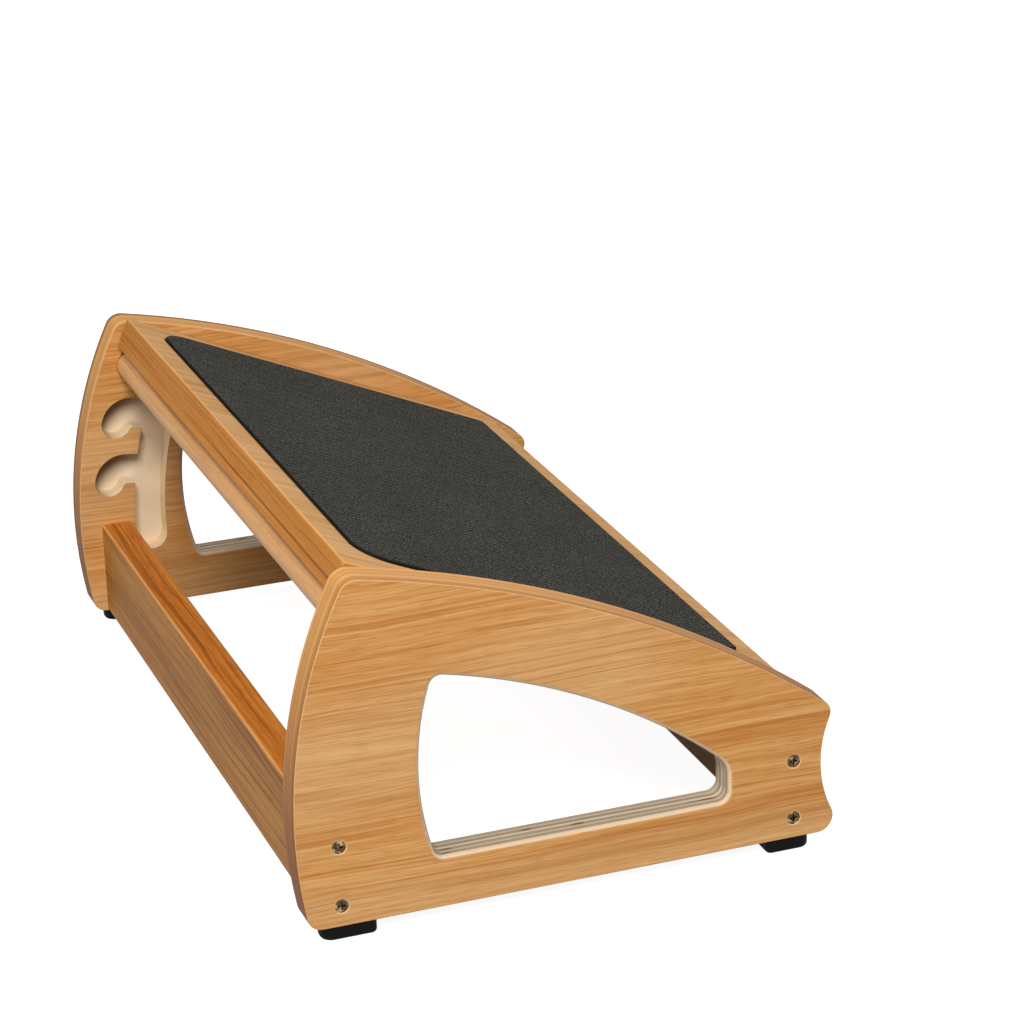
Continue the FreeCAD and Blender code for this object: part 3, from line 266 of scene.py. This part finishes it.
def plies(nodes, along, through, count, tones, shift, line=0.10, void=None):
    """Colour of a plywood edge; through runs from 0 to 1 across the sheet, along in metres.

    line is the glue's share of a ply's thickness at each side, void the colour of rare gaps.
    """
    light, deep, glue = tones
    wobble = nodes.noise(nodes.join(along, through, 0.0), PLY_WOBBLE, shift + 5.0, detail=3.0)
    waves = nodes.math("MULTIPLY", nodes.math("SUBTRACT", wobble, 0.5), PLY_WOBBLE_DEPTH)
    level = nodes.math("ADD", nodes.math("MULTIPLY", through, float(count)), waves)
    ply = nodes.math("FLOOR", level)
    share = nodes.math("SUBTRACT", level, ply)
    odd = nodes.math("MODULO", ply, 2.0)
    white_noise = nodes.add("ShaderNodeTexWhiteNoise", {"W": ply}, noise_dimensions="1D")
    chance = white_noise.outputs["Value"]
    fibre_place = nodes.join(along, level, ply)
    fibre = nodes.noise(fibre_place, PLY_FIBRE, shift + 13.0, detail=3.0, rough=0.6)
    speck = nodes.noise(fibre_place, PLY_SPECK, shift + 29.0)
    tone = nodes.weighted((odd, 0.55), (chance, 0.35), (nodes.math("SUBTRACT", fibre, 0.5), 0.9))
    specks = nodes.math("SUBTRACT", speck, 0.5)
    rough = nodes.math("MULTIPLY", specks, nodes.math("MULTIPLY", odd, 0.9))
    colour = nodes.mix(nodes.math("ADD", tone, rough, clamp=True), light, deep)
    low_edge = nodes.between(share, 0.0, line, 1.0, 0.0)
    high_edge = nodes.between(share, 1.0 - line, 1.0)
    dark_line = nodes.math("MAXIMUM", low_edge, high_edge)
    strength = nodes.math("MULTIPLY_ADD", chance, 0.4, 0.5)
    colour = nodes.mix(nodes.both(dark_line, strength), colour, glue)
    if void is not None:
        hollow = nodes.noise(nodes.join(along, ply, 0.0), PLY_HOLLOW, shift + 41.0, detail=1.0)
        here = nodes.both(nodes.between(hollow, 0.66, 0.72), nodes.inside(share, 0.25, 0.75, 0.2))
        colour = nodes.mix(here, colour, void)
    return colour


# Side panels: places are (y, z) in the panel's plane, as the part's source has them.

PLY = 0.018
INNER_FACE = 0.207
MASK_SOFT = 0.0005
RAIL_MIDDLES = {"toe": 0.11895, "heel": -0.11875}
SCREW_PLACES = [(y, z) for y in RAIL_MIDDLES.values() for z in (0.0188, 0.0501)]
SCREW_RING, RING_SOFT = 0.0041, 0.0003
WINDOW_REACH, WINDOW_FLOOR = (-0.0865, 0.0805), 0.0320
# The window lies below a line halfway between its own top and the panel's top edge.
HALFWAY_SLOPE, HALFWAY_LEVEL = 0.47, 0.127
# The groove lies in a ring about the centre of the toe edge's curve.
TOE_CURVE = (0.0, -0.12675, 0.062)
GROOVE_REACH, GROOVE_HEIGHT, GROOVE_HEEL_SIDE = (0.2130, 0.2605), (0.0405, 0.1745), 0.0595
SEATS = ((0.1035, 0.1581), (0.1150, 0.1238), (0.1214, 0.0882))
SEAT_SHADE_SHIFT, SEAT_SHADE_REACH, TOWARDS_ROOF = (0.006, 0.004), 0.021, (0.0, 0.6, 0.8)
# A paler band runs from the toe edge's middle to above the window.
PALE_SLOPE, PALE_LEVEL = 0.228, 0.1201
# Below this slope a panel's inner face is under the board at rest.
BOARD_SLOPE, BOARD_LEVEL = 0.43, (0.118, 0.126)
# Each panel's piece of veneer, and how much painted shade darkens its outermost ply.
PANELS = {"left": (140.0, 0.35), "right": (200.0, 0.85)}


def pale_veneer(nodes, y, z):
    """Where a panel's veneer is paler: in the band and along the floor."""
    band = nodes.math("SUBTRACT", nodes.math("MULTIPLY_ADD", y, PALE_SLOPE, z), PALE_LEVEL)
    in_band = nodes.between(nodes.math("ABSOLUTE", band), 0.010, 0.050, 1.0, 0.0)
    pale = nodes.both(in_band, nodes.between(y, -0.075, -0.020))
    return nodes.math("MAXIMUM", pale, nodes.between(z, 0.020, 0.034, 0.8, 0.0))


def window_area(nodes, y, z):
    """1 on the walls and the rim of a panel's window."""
    halfway = nodes.math("MULTIPLY_ADD", y, HALFWAY_SLOPE, HALFWAY_LEVEL)
    return nodes.both(
        nodes.inside(y, *WINDOW_REACH, MASK_SOFT),
        nodes.between(z, WINDOW_FLOOR - MASK_SOFT, WINDOW_FLOOR + MASK_SOFT),
        nodes.between(nodes.math("SUBTRACT", halfway, z), 0.0, 2 * MASK_SOFT),
    )


def groove_area(nodes, on_face, through):
    """1 on the walls and the floor of a panel's groove."""
    _, y, z = nodes.split(on_face)
    reach = nodes.vector("DISTANCE", on_face, TOE_CURVE)
    return nodes.both(
        nodes.inside(reach, *GROOVE_REACH, MASK_SOFT),
        nodes.inside(z, *GROOVE_HEIGHT, MASK_SOFT),
        nodes.between(y, GROOVE_HEEL_SIDE - MASK_SOFT, GROOVE_HEEL_SIDE + MASK_SOFT),
        nodes.inside(through, 0.02, 0.97, 0.01),
    )


def hook_roof_shade(nodes, on_face):
    """How strongly painted shadow darkens each hook under its roof."""
    roof_shade = 0.0
    for seat_y, seat_z in SEATS:
        middle = (0.0, seat_y - SEAT_SHADE_SHIFT[0], seat_z - SEAT_SHADE_SHIFT[1])
        from_middle = nodes.vector("SUBTRACT", on_face, middle)
        away = nodes.vector("DISTANCE", from_middle, ORIGIN)
        near = nodes.between(away, SEAT_SHADE_REACH, SEAT_SHADE_REACH + 0.004, 1.0, 0.0)
        upwards = nodes.vector("DOT_PRODUCT", from_middle, TOWARDS_ROOF)
        under_roof = nodes.between(upwards, -0.002, 0.013)
        roof_shade = nodes.math("MAXIMUM", roof_shade, nodes.both(near, under_roof))
    return roof_shade


def screw_rings(nodes, on_face):
    """1 on the countersinks round a panel's four screws."""
    nearest = None
    for screw_y, screw_z in SCREW_PLACES:
        away = nodes.vector("DISTANCE", on_face, (0.0, screw_y, screw_z))
        nearest = away if nearest is None else nodes.math("MINIMUM", nearest, away)
    return nodes.between(nearest, SCREW_RING - RING_SOFT, SCREW_RING + RING_SOFT, 1.0, 0.0)


def panel_material(side):
    """Veneered faces, stained outer edges, raw ply in the window, pale groove."""
    shift, arris_shade_share = PANELS[side]
    nodes = Surface(side + "_panel_plywood")
    x, y, z = nodes.split(nodes.position)
    normal = nodes.split(nodes.normal)
    facing = nodes.math("ABSOLUTE", normal[0])
    depth = nodes.math("SUBTRACT", nodes.math("ABSOLUTE", x), INNER_FACE)
    through = nodes.math("DIVIDE", depth, PLY)
    on_face = nodes.join(0.0, y, z)

    pale = pale_veneer(nodes, y, z)
    lift = nodes.math("MULTIPLY_ADD", pale, 0.028, 0.001)
    face, height = veneer(nodes, nodes.join(y, z, x), shift, PANEL_TONES, PANEL_VEIN, lift=lift)
    face = nodes.mix(nodes.math("MULTIPLY", pale, 0.22), face, PALE_VENEER)
    # Painted shade makes the inner faces deeper in colour behind the groove and below the board,
    # where the board shades them.
    outwards = nodes.math("MULTIPLY", normal[0], nodes.math("SIGN", x))
    over_board = nodes.math("MULTIPLY_ADD", y, -BOARD_SLOPE, z)
    under_board_shade = nodes.both(
        nodes.between(outwards, -0.9, -0.5, 1.0, 0.0),
        nodes.between(y, 0.060, 0.092, 0.13, 0.0),
        nodes.between(over_board, *BOARD_LEVEL, 1.0, 0.0),
    )
    face = nodes.mix(under_board_shade, face, UNDER_BOARD_SHADE)

    # Along the rim, height and depth together keep the fibres running on every edge.
    along = nodes.math("ADD", y, z)
    stained = plies(nodes, along, through, 4, STAINED_PLY, shift, line=0.09)
    # Painted shade darkens the outermost ply, where the outer arris turns away from the light.
    outer_arris_shade = nodes.math("MULTIPLY", nodes.between(through, 0.72, 0.93), arris_shade_share)
    stained = nodes.mix(outer_arris_shade, stained, tint(118, 78, 46))
    # Painted shade darkens the stained edges towards the floor.
    stained = nodes.mix(nodes.between(z, 0.010, 0.182, 0.90, 0.0), stained, tint(120, 63, 14))
    raw = plies(nodes, y, through, 9, RAW_PLY, shift + 7, void=RAW_VOID)
    in_window = window_area(nodes, y, z)
    colour = nodes.mix(nodes.between(facing, 0.86, 0.97), nodes.mix(in_window, stained, raw), face)

    # The rims are paler sanded wood with a painted highlight, on the outline and round the window.
    arris = nodes.inside(facing, 0.25, 0.93, 0.06)
    outer_rim = nodes.both(nodes.math("SUBTRACT", 1.0, in_window), arris, 0.7)
    colour = nodes.mix(outer_rim, colour, PALE_RIM_AND_HIGHLIGHT)
    window_rim = nodes.both(in_window, nodes.inside(facing, 0.62, 0.95, 0.05))
    colour = nodes.mix(nodes.math("MULTIPLY", window_rim, 0.6), colour, tint(232, 196, 156))

    cloud = nodes.noise(nodes.position, (60, 60, 60), shift + 2, detail=3.0)
    groove_floor = nodes.mix(cloud, tint(244, 226, 196), tint(230, 208, 174))
    groove_walls = plies(nodes, along, through, 9, GROOVE_PLY, shift)
    groove = nodes.mix(nodes.between(facing, 0.5, 0.9), groove_walls, groove_floor)
    # Painted shadow under the hooks' roofs.
    roof_shade = nodes.math("MULTIPLY", hook_roof_shade(nodes, on_face), 0.80)
    groove = nodes.mix(roof_shade, groove, tint(108, 70, 40))
    colour = nodes.mix(groove_area(nodes, on_face, through), colour, groove)

    rings = nodes.math("MULTIPLY", screw_rings(nodes, on_face), 0.6)
    colour = nodes.mix(rings, colour, tint(226, 190, 146))
    return nodes.finish(colour, height, WOOD_BUMP, **SATIN)


# Rails: each one's piece of veneer, and how much painted shade darkens its side towards the toe
# end.
# The heel rail's is in the shade under the board.

RAILS = {"toe": (30.0, 0.0), "heel": (44.0, 0.7)}
RAIL_TONES = (
    (0.36, tint(144, 88, 32)),
    (0.45, tint(167, 110, 46)),
    (0.54, tint(181, 124, 56)),
    (0.64, tint(196, 141, 72)),
)
RAIL_EDGE_TONES = (
    (0.36, tint(160, 86, 28)),
    (0.45, tint(190, 112, 40)),
    (0.54, tint(206, 129, 52)),
    (0.64, tint(220, 147, 68)),
)


def rail_material(end):
    """Veneer along the rail on its broad faces, dark streaks on its stained top and bottom."""
    shift, toe_side_shade = RAILS[end]
    nodes = Surface(end + "_rail_plywood")
    x, y, z = nodes.split(nodes.position)
    normal = nodes.split(nodes.normal)
    facing = nodes.math("ABSOLUTE", normal[1])
    depth = nodes.math("DIVIDE", nodes.math("SUBTRACT", y, RAIL_MIDDLES[end]), PLY)
    through = nodes.math("ADD", depth, 0.5)
    face, height = veneer(nodes, nodes.join(x, z, y), shift, RAIL_TONES, tint(120, 72, 28))
    streaks, _ = veneer(
        nodes, nodes.position, shift + 5.0, RAIL_EDGE_TONES, tint(112, 54, 18), contrast=1.3
    )
    lines = plies(nodes, x, through, 3, RAIL_PLY, shift, line=0.08)
    edge = nodes.mix(0.38, streaks, lines)
    colour = nodes.mix(nodes.between(facing, 0.80, 0.95), edge, face)
    # The arrises are paler sanded wood with a painted highlight.
    arris = nodes.inside(facing, 0.45, 0.90, 0.08)
    colour = nodes.mix(nodes.math("MULTIPLY", arris, 0.5), colour, PALE_RIM_AND_HIGHLIGHT)
    # Painted shade on the side towards the toe end.
    towards_toe = nodes.between(normal[1], 0.3, 0.9, 0.0, toe_side_shade)
    colour = nodes.mix(towards_toe, colour, tint(70, 38, 16))
    return nodes.finish(colour, height, WOOD_BUMP, **SATIN)


# The board and its mat lie in the board's own axes about the pivot.

PIVOT = Vector((0, -0.10495, 0.0878))
SLOPE = math.radians(23.273)
MAT_HALF_WIDTH = 0.1885
MAT_HEEL, MAT_TOE = 0.0046, 0.2165
MAT_HEEL_CORNER, MAT_TOE_CORNER = 0.003, 0.018
MAT_UNDERSIDE, MAT_TOP = 0.0091, 0.0106
BOARD_TONES = (
    (0.36, tint(188, 130, 72)),
    (0.45, tint(204, 152, 92)),
    (0.54, tint(215, 166, 108)),
    (0.64, tint(224, 181, 127)),
)
BOARD_EDGE_TONES = (
    (0.36, tint(160, 92, 34)),
    (0.45, tint(186, 118, 50)),
    (0.54, tint(202, 136, 64)),
    (0.64, tint(218, 156, 84)),
)
BOARD_SHIFT, BOARD_STREAK_SHIFT, BOARD_PLY_SHIFT = 90.0, 61.0, 17.0


def board_frame(nodes, vector, moved=True):
    """A vector in the board's own axes: x across, y up the slope, z out of its top face."""
    if moved:
        vector = nodes.vector("SUBTRACT", vector, PIVOT)
    feeds = {"Vector": vector, "Angle": -SLOPE, "Axis": (1.0, 0.0, 0.0)}
    return nodes.add("ShaderNodeVectorRotate", feeds, rotation_type="AXIS_ANGLE").outputs[0]


def outside_mat(nodes, x, slope):
    """Distance outwards from the mat's rounded outline, less than 0 under it."""
    wide = nodes.math("ABSOLUTE", x)
    reaches = []
    ends = ((MAT_TOE, MAT_TOE_CORNER, 1), (-MAT_HEEL, MAT_HEEL_CORNER, -1))
    for end, corner, heading in ends:
        across = nodes.math("SUBTRACT", wide, MAT_HALF_WIDTH - corner)
        along = nodes.math("SUBTRACT", nodes.math("MULTIPLY", slope, heading), end - corner)
        past = nodes.vector("MAXIMUM", nodes.join(across, along, 0.0), ORIGIN)
        reach = nodes.vector("DISTANCE", past, ORIGIN)
        reaches.append(nodes.math("SUBTRACT", reach, corner))
    return nodes.math("MAXIMUM", *reaches)


def board_material():
    """Veneer with its grain up the slope, stained ply lines on all four edges."""
    nodes = Surface("board_plywood")
    x, slope, out = nodes.split(board_frame(nodes, nodes.position))
    normal = nodes.split(board_frame(nodes, nodes.normal, moved=False))
    facing = nodes.math("ABSOLUTE", normal[2])
    face, height = veneer(
        nodes, nodes.join(slope, x, out), BOARD_SHIFT, BOARD_TONES, PANEL_VEIN, contrast=0.6
    )
    # A painted shadow lies along the mat's edge.
    dark_line = nodes.between(outside_mat(nodes, x, slope), 0.0004, 0.0013, 0.9, 0.0)
    on_top = nodes.between(normal[2], 0.8, 0.95)
    face = nodes.mix(nodes.both(dark_line, on_top), face, tint(54, 32, 16))

    through = nodes.math("ADD", nodes.math("DIVIDE", out, PLY), 0.5)
    along = nodes.math("ADD", x, slope)
    lines = plies(nodes, along, through, 3, BOARD_PLY, BOARD_PLY_SHIFT, line=0.09)
    streaks, _ = veneer(
        nodes, nodes.join(x, out, slope), BOARD_STREAK_SHIFT, BOARD_EDGE_TONES, tint(124, 64, 22)
    )
    edge = nodes.mix(0.62, streaks, lines)
    # One glue line is open and dark towards the left end.
    low_ply = nodes.inside(through, 0.27, 0.33, 0.02)
    glue_line = nodes.both(low_ply, nodes.between(x, -0.06, 0.12, 0.65, 0.1))
    edge = nodes.mix(glue_line, edge, tint(92, 46, 18))
    colour = nodes.mix(nodes.between(facing, 0.80, 0.95), edge, face)
    # The arrises are paler sanded wood with a painted highlight.
    arris = nodes.inside(facing, 0.5, 0.92, 0.08)
    colour = nodes.mix(nodes.math("MULTIPLY", arris, 0.6), colour, PALE_RIM_AND_HIGHLIGHT)
    return nodes.finish(colour, height, WOOD_BUMP, **SATIN)


ROD_TONES = (
    (0.34, tint(196, 142, 88)),
    (0.50, tint(211, 157, 101)),
    (0.66, tint(224, 174, 120)),
)
ROD_FLECK, ROD_BUMP = tint(176, 124, 82), 0.00004
END_LIGHT, END_DEEP = tint(196, 150, 106), tint(172, 124, 84)
# Year rings: radians of their wave per metre, and their middle beside the rod's axis.
YEAR_RINGS, YEAR_RINGS_MIDDLE = 5200.0, (0.0, 0.003, 0.0)


def rod_material():
    """Pale turned hardwood, fine fibres along the rod and rings on its ends."""
    nodes = Surface("rod_wood")
    _, y, z = nodes.split(nodes.position)
    facing = nodes.math("ABSOLUTE", nodes.split(nodes.normal)[0])
    fibre = nodes.noise(nodes.position, (14, 700, 700), 4.0, detail=3.0, rough=0.6)
    cloud = nodes.noise(nodes.position, (9, 60, 60), 8.0)
    fleck = nodes.noise(nodes.position, (160, 1500, 1500), 12.0, detail=0.0)
    colour = nodes.ramp(nodes.weighted((fibre, 0.6), (cloud, 0.4)), ROD_TONES)
    flecks = nodes.between(fleck, 0.66, 0.76, 0.0, 0.35)
    colour = nodes.mix(flecks, colour, ROD_FLECK)

    # At rest the rod's axis runs through the upper seat.
    seat_y, seat_z = SEATS[0]
    on_end = nodes.join(0.0, nodes.math("SUBTRACT", y, seat_y), nodes.math("SUBTRACT", z, seat_z))
    away = nodes.vector("DISTANCE", on_end, YEAR_RINGS_MIDDLE)
    rings = nodes.math("SINE", nodes.math("MULTIPLY", away, YEAR_RINGS))
    ends = nodes.mix(nodes.math("MULTIPLY_ADD", rings, 0.2, 0.5), END_LIGHT, END_DEEP)
    colour = nodes.mix(nodes.between(facing, 0.6, 0.9), colour, ends)
    height = nodes.math("SUBTRACT", fibre, flecks)
    return nodes.finish(colour, height, ROD_BUMP, Roughness=0.48, Specular_IOR_Level=0.16)


# Rubber, metal and nylon.

# The weave's threads repeat every 2.2 mm; their slip is in radians.
WEAVE_TURNS, WEAVE_SLIP = math.tau / 0.0022, 3.4
MAT_TONES = (
    (0.36, tint(12, 13, 12)),
    (0.46, tint(38, 39, 36)),
    (0.54, tint(62, 62, 57)),
    (0.64, tint(112, 110, 101)),
)
MAT_BUMP = 0.0003


def mat_material():
    """Charcoal woven-look grip surface; its walls are plain."""
    nodes = Surface("mat")
    x, slope, _ = nodes.split(board_frame(nodes, nodes.position))
    _, _, up = nodes.split(board_frame(nodes, nodes.normal, moved=False))
    on_top = nodes.between(up, 0.80, 0.97)
    on_sheet = nodes.join(x, slope, 0.0)
    jitter = nodes.noise(on_sheet, (300, 300, 0), 6.0)
    slip = nodes.math("MULTIPLY", nodes.math("SUBTRACT", jitter, 0.5), WEAVE_SLIP)
    waves = []
    for way in ("ADD", "SUBTRACT"):
        turns = nodes.math("MULTIPLY", nodes.math(way, x, slope), WEAVE_TURNS)
        waves.append(nodes.math("SINE", nodes.math("ADD", turns, slip)))
    knot = nodes.math("MULTIPLY_ADD", nodes.math("ADD", *waves), 0.25, 0.5)
    grit = nodes.noise(on_sheet, (1000, 1150, 0), 16.0, detail=1.0)
    patch = nodes.noise(on_sheet, (22, 22, 0), 26.0)
    colour = nodes.ramp(nodes.weighted((knot, 0.35), (grit, 0.65)), MAT_TONES)
    colour = nodes.mix(nodes.between(patch, 0.35, 0.65, 0.0, 0.2), colour, tint(44, 43, 42))
    colour = nodes.mix(on_top, tint(34, 33, 30), colour)
    height = nodes.both(nodes.weighted((knot, 0.7), (grit, 0.5)), on_top)
    return nodes.finish(colour, height, MAT_BUMP, Roughness=0.9, Specular_IOR_Level=0.06)


def rubber_material():
    """Black rubber, a little dusty."""
    nodes = Surface("foot_rubber")
    grain = nodes.noise(nodes.position, (1400, 1400, 1400), 3.0)
    dust = nodes.noise(nodes.position, (120, 120, 260), 9.0, detail=3.0)
    dusty = nodes.between(dust, 0.45, 0.75, 0.0, 0.5)
    colour = nodes.mix(dusty, tint(6, 6, 7), tint(18, 18, 19))
    return nodes.finish(colour, grain, 0.00008, Roughness=0.7, Specular_IOR_Level=0.12)


def metal_material(name, bright, dull, patchiness, roughness):
    """Plated or browned steel with fine brushing and darker patches."""
    nodes = Surface(name)
    patch = nodes.noise(nodes.position, (420, 420, 420), 5.0, detail=3.0)
    brush = nodes.noise(nodes.position, (300, 2600, 2600), 15.0, detail=1.0)
    low = 0.62 - patchiness * 0.3
    colour = nodes.mix(nodes.between(patch, low, low + 0.2), bright, dull)
    return nodes.finish(colour, brush, 0.00002, Roughness=roughness, Metallic=1.0)


def nylon_material():
    """Off-white nylon, faintly mottled."""
    nodes = Surface("bush_nylon")
    mottle = nodes.noise(nodes.position, (300, 300, 300), 5.0)
    colour = nodes.mix(mottle, tint(232, 230, 222), tint(214, 211, 201))
    return nodes.finish(colour, mottle, 0.00003, Roughness=0.5)


def dress(node, material):
    """Give a CAD node's object its material."""
    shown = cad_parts[node]
    if not shown.material_slots:
        shown.data.materials.append(None)
    for slot in shown.material_slots:
        slot.material = material


def dress_nodes():
    """Give every CAD node its material, apart from the mat, which a sheet replaces."""
    for side in SIDES:
        dress(side + "_side_panel", panel_material(side))
    for end in ENDS:
        dress(end + "_rail", rail_material(end))
    dress("footboard", board_material())
    dress("support_rod", rod_material())
    rubber, nylon = rubber_material(), nylon_material()
    bronze = metal_material("rail_screw_steel", tint(176, 150, 112), tint(84, 66, 46), 1.0, 0.36)
    zinc = metal_material("foot_screw_steel", tint(196, 196, 192), tint(150, 150, 146), 0.4, 0.3)
    steel = metal_material("pin_steel", tint(206, 206, 204), tint(170, 170, 168), 0.3, 0.25)
    for side in SIDES:
        dress(side + "_pivot_pin", steel)
        dress(side + "_pivot_bush", nylon)
        dress(side + "_foot_screws", zinc)
        for end in ENDS:
            dress("%s_%s_rail_screws" % (side, end), bronze)
            dress("%s_%s_foot" % (side, end), rubber)


# Grip mat: a sheet with rounded corners and a softly rounded upper edge, on the board's top face.

MAT_COLUMNS, MAT_ROWS, CORNER_STEPS = 48, 28, 6
MAT_EDGE, EDGE_STEPS = 0.0005, 4


def side_points(start, end, count):
    """One side of the rounded outline, as points and their outward directions.

    It holds half a corner, the straight run and half a corner; start and end are each
    the middle of a corner's arc and its radius.
    """
    (first, first_radius), (last, last_radius) = start, end
    run = (last - first).normalized()
    run = Vector((round(run.x), round(run.y)))
    outward = Vector((run.y, -run.x))
    turns = [math.pi / 4 * step / CORNER_STEPS for step in range(CORNER_STEPS, 0, -1)]
    points = []
    for angle in turns:
        away = outward * math.cos(angle) - run * math.sin(angle)
        points.append((first + away * first_radius, away))
    straight = count - 2 * CORNER_STEPS
    for i in range(straight + 1):
        along = (first + outward * first_radius).lerp(last + outward * last_radius, i / straight)
        points.append((along, outward))
    for angle in reversed(turns):
        away = outward * math.cos(angle) + run * math.sin(angle)
        points.append((last + away * last_radius, away))
    return points


def mat_sides():
    """The low, right, high and left side of the mat's outline, from left to right and upwards."""
    heel_round = MAT_HEEL + MAT_HEEL_CORNER, MAT_HEEL_CORNER, (-1, 1)
    toe_round = MAT_TOE - MAT_TOE_CORNER, MAT_TOE_CORNER, (1, -1)
    rounds = []
    for up_slope, corner, headings in (heel_round, toe_round):
        for heading in headings:
            middle = Vector((heading * (MAT_HALF_WIDTH - corner), up_slope))
            rounds.append((middle, corner))
    counts = (MAT_COLUMNS, MAT_ROWS, MAT_COLUMNS, MAT_ROWS)
    sides = [side_points(rounds[i], rounds[(i + 1) % 4], counts[i]) for i in range(4)]
    return sides[0], sides[1], sides[2][::-1], sides[3][::-1]


def make_mat():
    low, right, high, left = mat_sides()
    vertices, faces = [], []
    turn = Matrix.Rotation(SLOPE, 4, "X")

    def add_vertex(point, out):
        vertices.append(PIVOT + turn @ Vector((point.x, point.y, out)))
        return len(vertices) - 1

    border = {}
    for i in range(MAT_COLUMNS + 1):
        border[i, 0], border[i, MAT_ROWS] = low[i], high[i]
    for j in range(MAT_ROWS + 1):
        border[0, j], border[MAT_COLUMNS, j] = left[j], right[j]

    def inner_point(i, j):
        """A point of the flat sheet, blended between its four sides."""
        u, v = i / MAT_COLUMNS, j / MAT_ROWS
        edge = low[i][0] * (1 - v) + high[i][0] * v + left[j][0] * (1 - u) + right[j][0] * u
        near = low[0][0] * (1 - u) + low[-1][0] * u
        far = high[0][0] * (1 - u) + high[-1][0] * u
        return edge - near * (1 - v) - far * v

    # The border's upper ring is pulled in by the rounded edge.
    top, bottom = {}, {}
    for i in range(MAT_COLUMNS + 1):
        for j in range(MAT_ROWS + 1):
            if (i, j) in border:
                point, away = border[i, j]
                top[i, j] = add_vertex(point - away * MAT_EDGE, MAT_TOP)
            else:
                point = inner_point(i, j)
                top[i, j] = add_vertex(point, MAT_TOP)
            bottom[i, j] = add_vertex(point, MAT_UNDERSIDE)
    for i in range(MAT_COLUMNS):
        for j in range(MAT_ROWS):
            ring = [(i, j), (i + 1, j), (i + 1, j + 1), (i, j + 1)]
            faces.append([top[key] for key in ring])
            faces.append([bottom[key] for key in reversed(ring)])

    walk = [(i, 0) for i in range(MAT_COLUMNS)]
    walk += [(MAT_COLUMNS, j) for j in range(MAT_ROWS)]
    walk += [(i, MAT_ROWS) for i in range(MAT_COLUMNS, 0, -1)]
    walk += [(0, j) for j in range(MAT_ROWS, 0, -1)]
    rings = [[bottom[key] for key in walk]]
    for step in range(EDGE_STEPS):
        angle = math.pi / 2 * step / EDGE_STEPS
        inset, drop = MAT_EDGE * (1 - math.cos(angle)), MAT_EDGE * (1 - math.sin(angle))
        level = [border[key][0] - border[key][1] * inset for key in walk]
        rings.append([add_vertex(point, MAT_TOP - drop) for point in level])
    rings.append([top[key] for key in walk])
    for lower, upper in zip(rings, rings[1:]):
        for i in range(len(walk)):
            following = (i + 1) % len(walk)
            faces.append([lower[i], lower[following], upper[following], upper[i]])

    mesh = bpy.data.meshes.new("grip_mat_sheet")
    mesh.from_pydata(vertices, [], faces)
    mesh.validate()
    mesh.shade_smooth()
    sheet = bpy.data.objects.new("grip_mat_sheet", mesh)
    bpy.context.scene.collection.objects.link(sheet)
    mesh.materials.append(mat_material())
    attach(sheet, "tilting_board")
    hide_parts("grip_mat")


# Stage and light. Lamps have their place, side and power in watts.

WHITE, FLOOR_PAINT = (1.0, 1.0, 1.0, 1.0), (0.35, 0.35, 0.35, 1.0)
FLOOR_SIDE, FLOOR_GLOW = 30.0, 0.92
WORLD_LIGHT = 0.26
LAMPS = {
    "key": ((-2.0, 0.75, 2.0), 0.9, 68),
    "front": ((-0.9, 2.3, 1.8), 1.2, 20),
    "back": ((2.2, -1.8, 2.0), 1.6, 26),
}


def shown_by(nodes, *rays):
    """1 for rays from the camera and rays of the named kinds."""
    path = nodes.add("ShaderNodeLightPath").outputs
    share = path["Is Camera Ray"]
    for ray in rays:
        share = nodes.math("MAXIMUM", share, path[ray])
    return share


def make_floor():
    """A wide matt floor that looks near white and throws little light back."""
    half = FLOOR_SIDE / 2
    corners = [(-half, -half, 0), (half, -half, 0), (half, half, 0), (-half, half, 0)]
    mesh = bpy.data.meshes.new("floor")
    mesh.from_pydata(corners, [], [(0, 1, 2, 3)])
    floor = bpy.data.objects.new("floor", mesh)
    bpy.context.scene.collection.objects.link(floor)
    nodes = Nodes(bpy.data.materials.new("floor"))
    paint = nodes.add("ShaderNodeBsdfDiffuse", {"Color": FLOOR_PAINT})
    shown = shown_by(nodes, "Is Glossy Ray", "Is Transmission Ray")
    strength = nodes.math("MULTIPLY", shown, FLOOR_GLOW)
    glow = nodes.add("ShaderNodeEmission", {"Color": WHITE, "Strength": strength})
    surface = nodes.add("ShaderNodeAddShader", {0: paint.outputs[0], 1: glow.outputs[0]})
    nodes.add("ShaderNodeOutputMaterial", {"Surface": surface.outputs[0]})
    mesh.materials.append(nodes.owner)


def make_world():
    """An even sky, white where the camera sees it and dimmer where it lights."""
    nodes = Nodes(bpy.data.worlds.new("studio"))
    shown = shown_by(nodes, "Is Transmission Ray")
    strength = nodes.between(shown, 0.0, 1.0, WORLD_LIGHT, 1.0)
    sky = nodes.add("ShaderNodeBackground", {"Color": WHITE, "Strength": strength})
    nodes.add("ShaderNodeOutputWorld", {"Surface": sky.outputs[0]})
    bpy.context.scene.world = nodes.owner


def make_lamp(name, place, side, power):
    """A square soft lamp that looks at the middle of the object."""
    data = bpy.data.lights.new(name, "AREA")
    data.shape = "SQUARE"
    data.size = side
    data.energy = power
    lamp = bpy.data.objects.new(name, data)
    lamp.location = place
    lamp.rotation_mode = "QUATERNION"
    lamp.rotation_quaternion = (AIM - Vector(place)).to_track_quat("-Z", "Y")
    bpy.context.scene.collection.objects.link(lamp)


make_camera()
make_floor()
make_world()
for lamp_name, lamp_settings in LAMPS.items():
    make_lamp(lamp_name, *lamp_settings)
dress_nodes()
make_mat()

bpy.context.scene.view_settings.view_transform = "Standard"
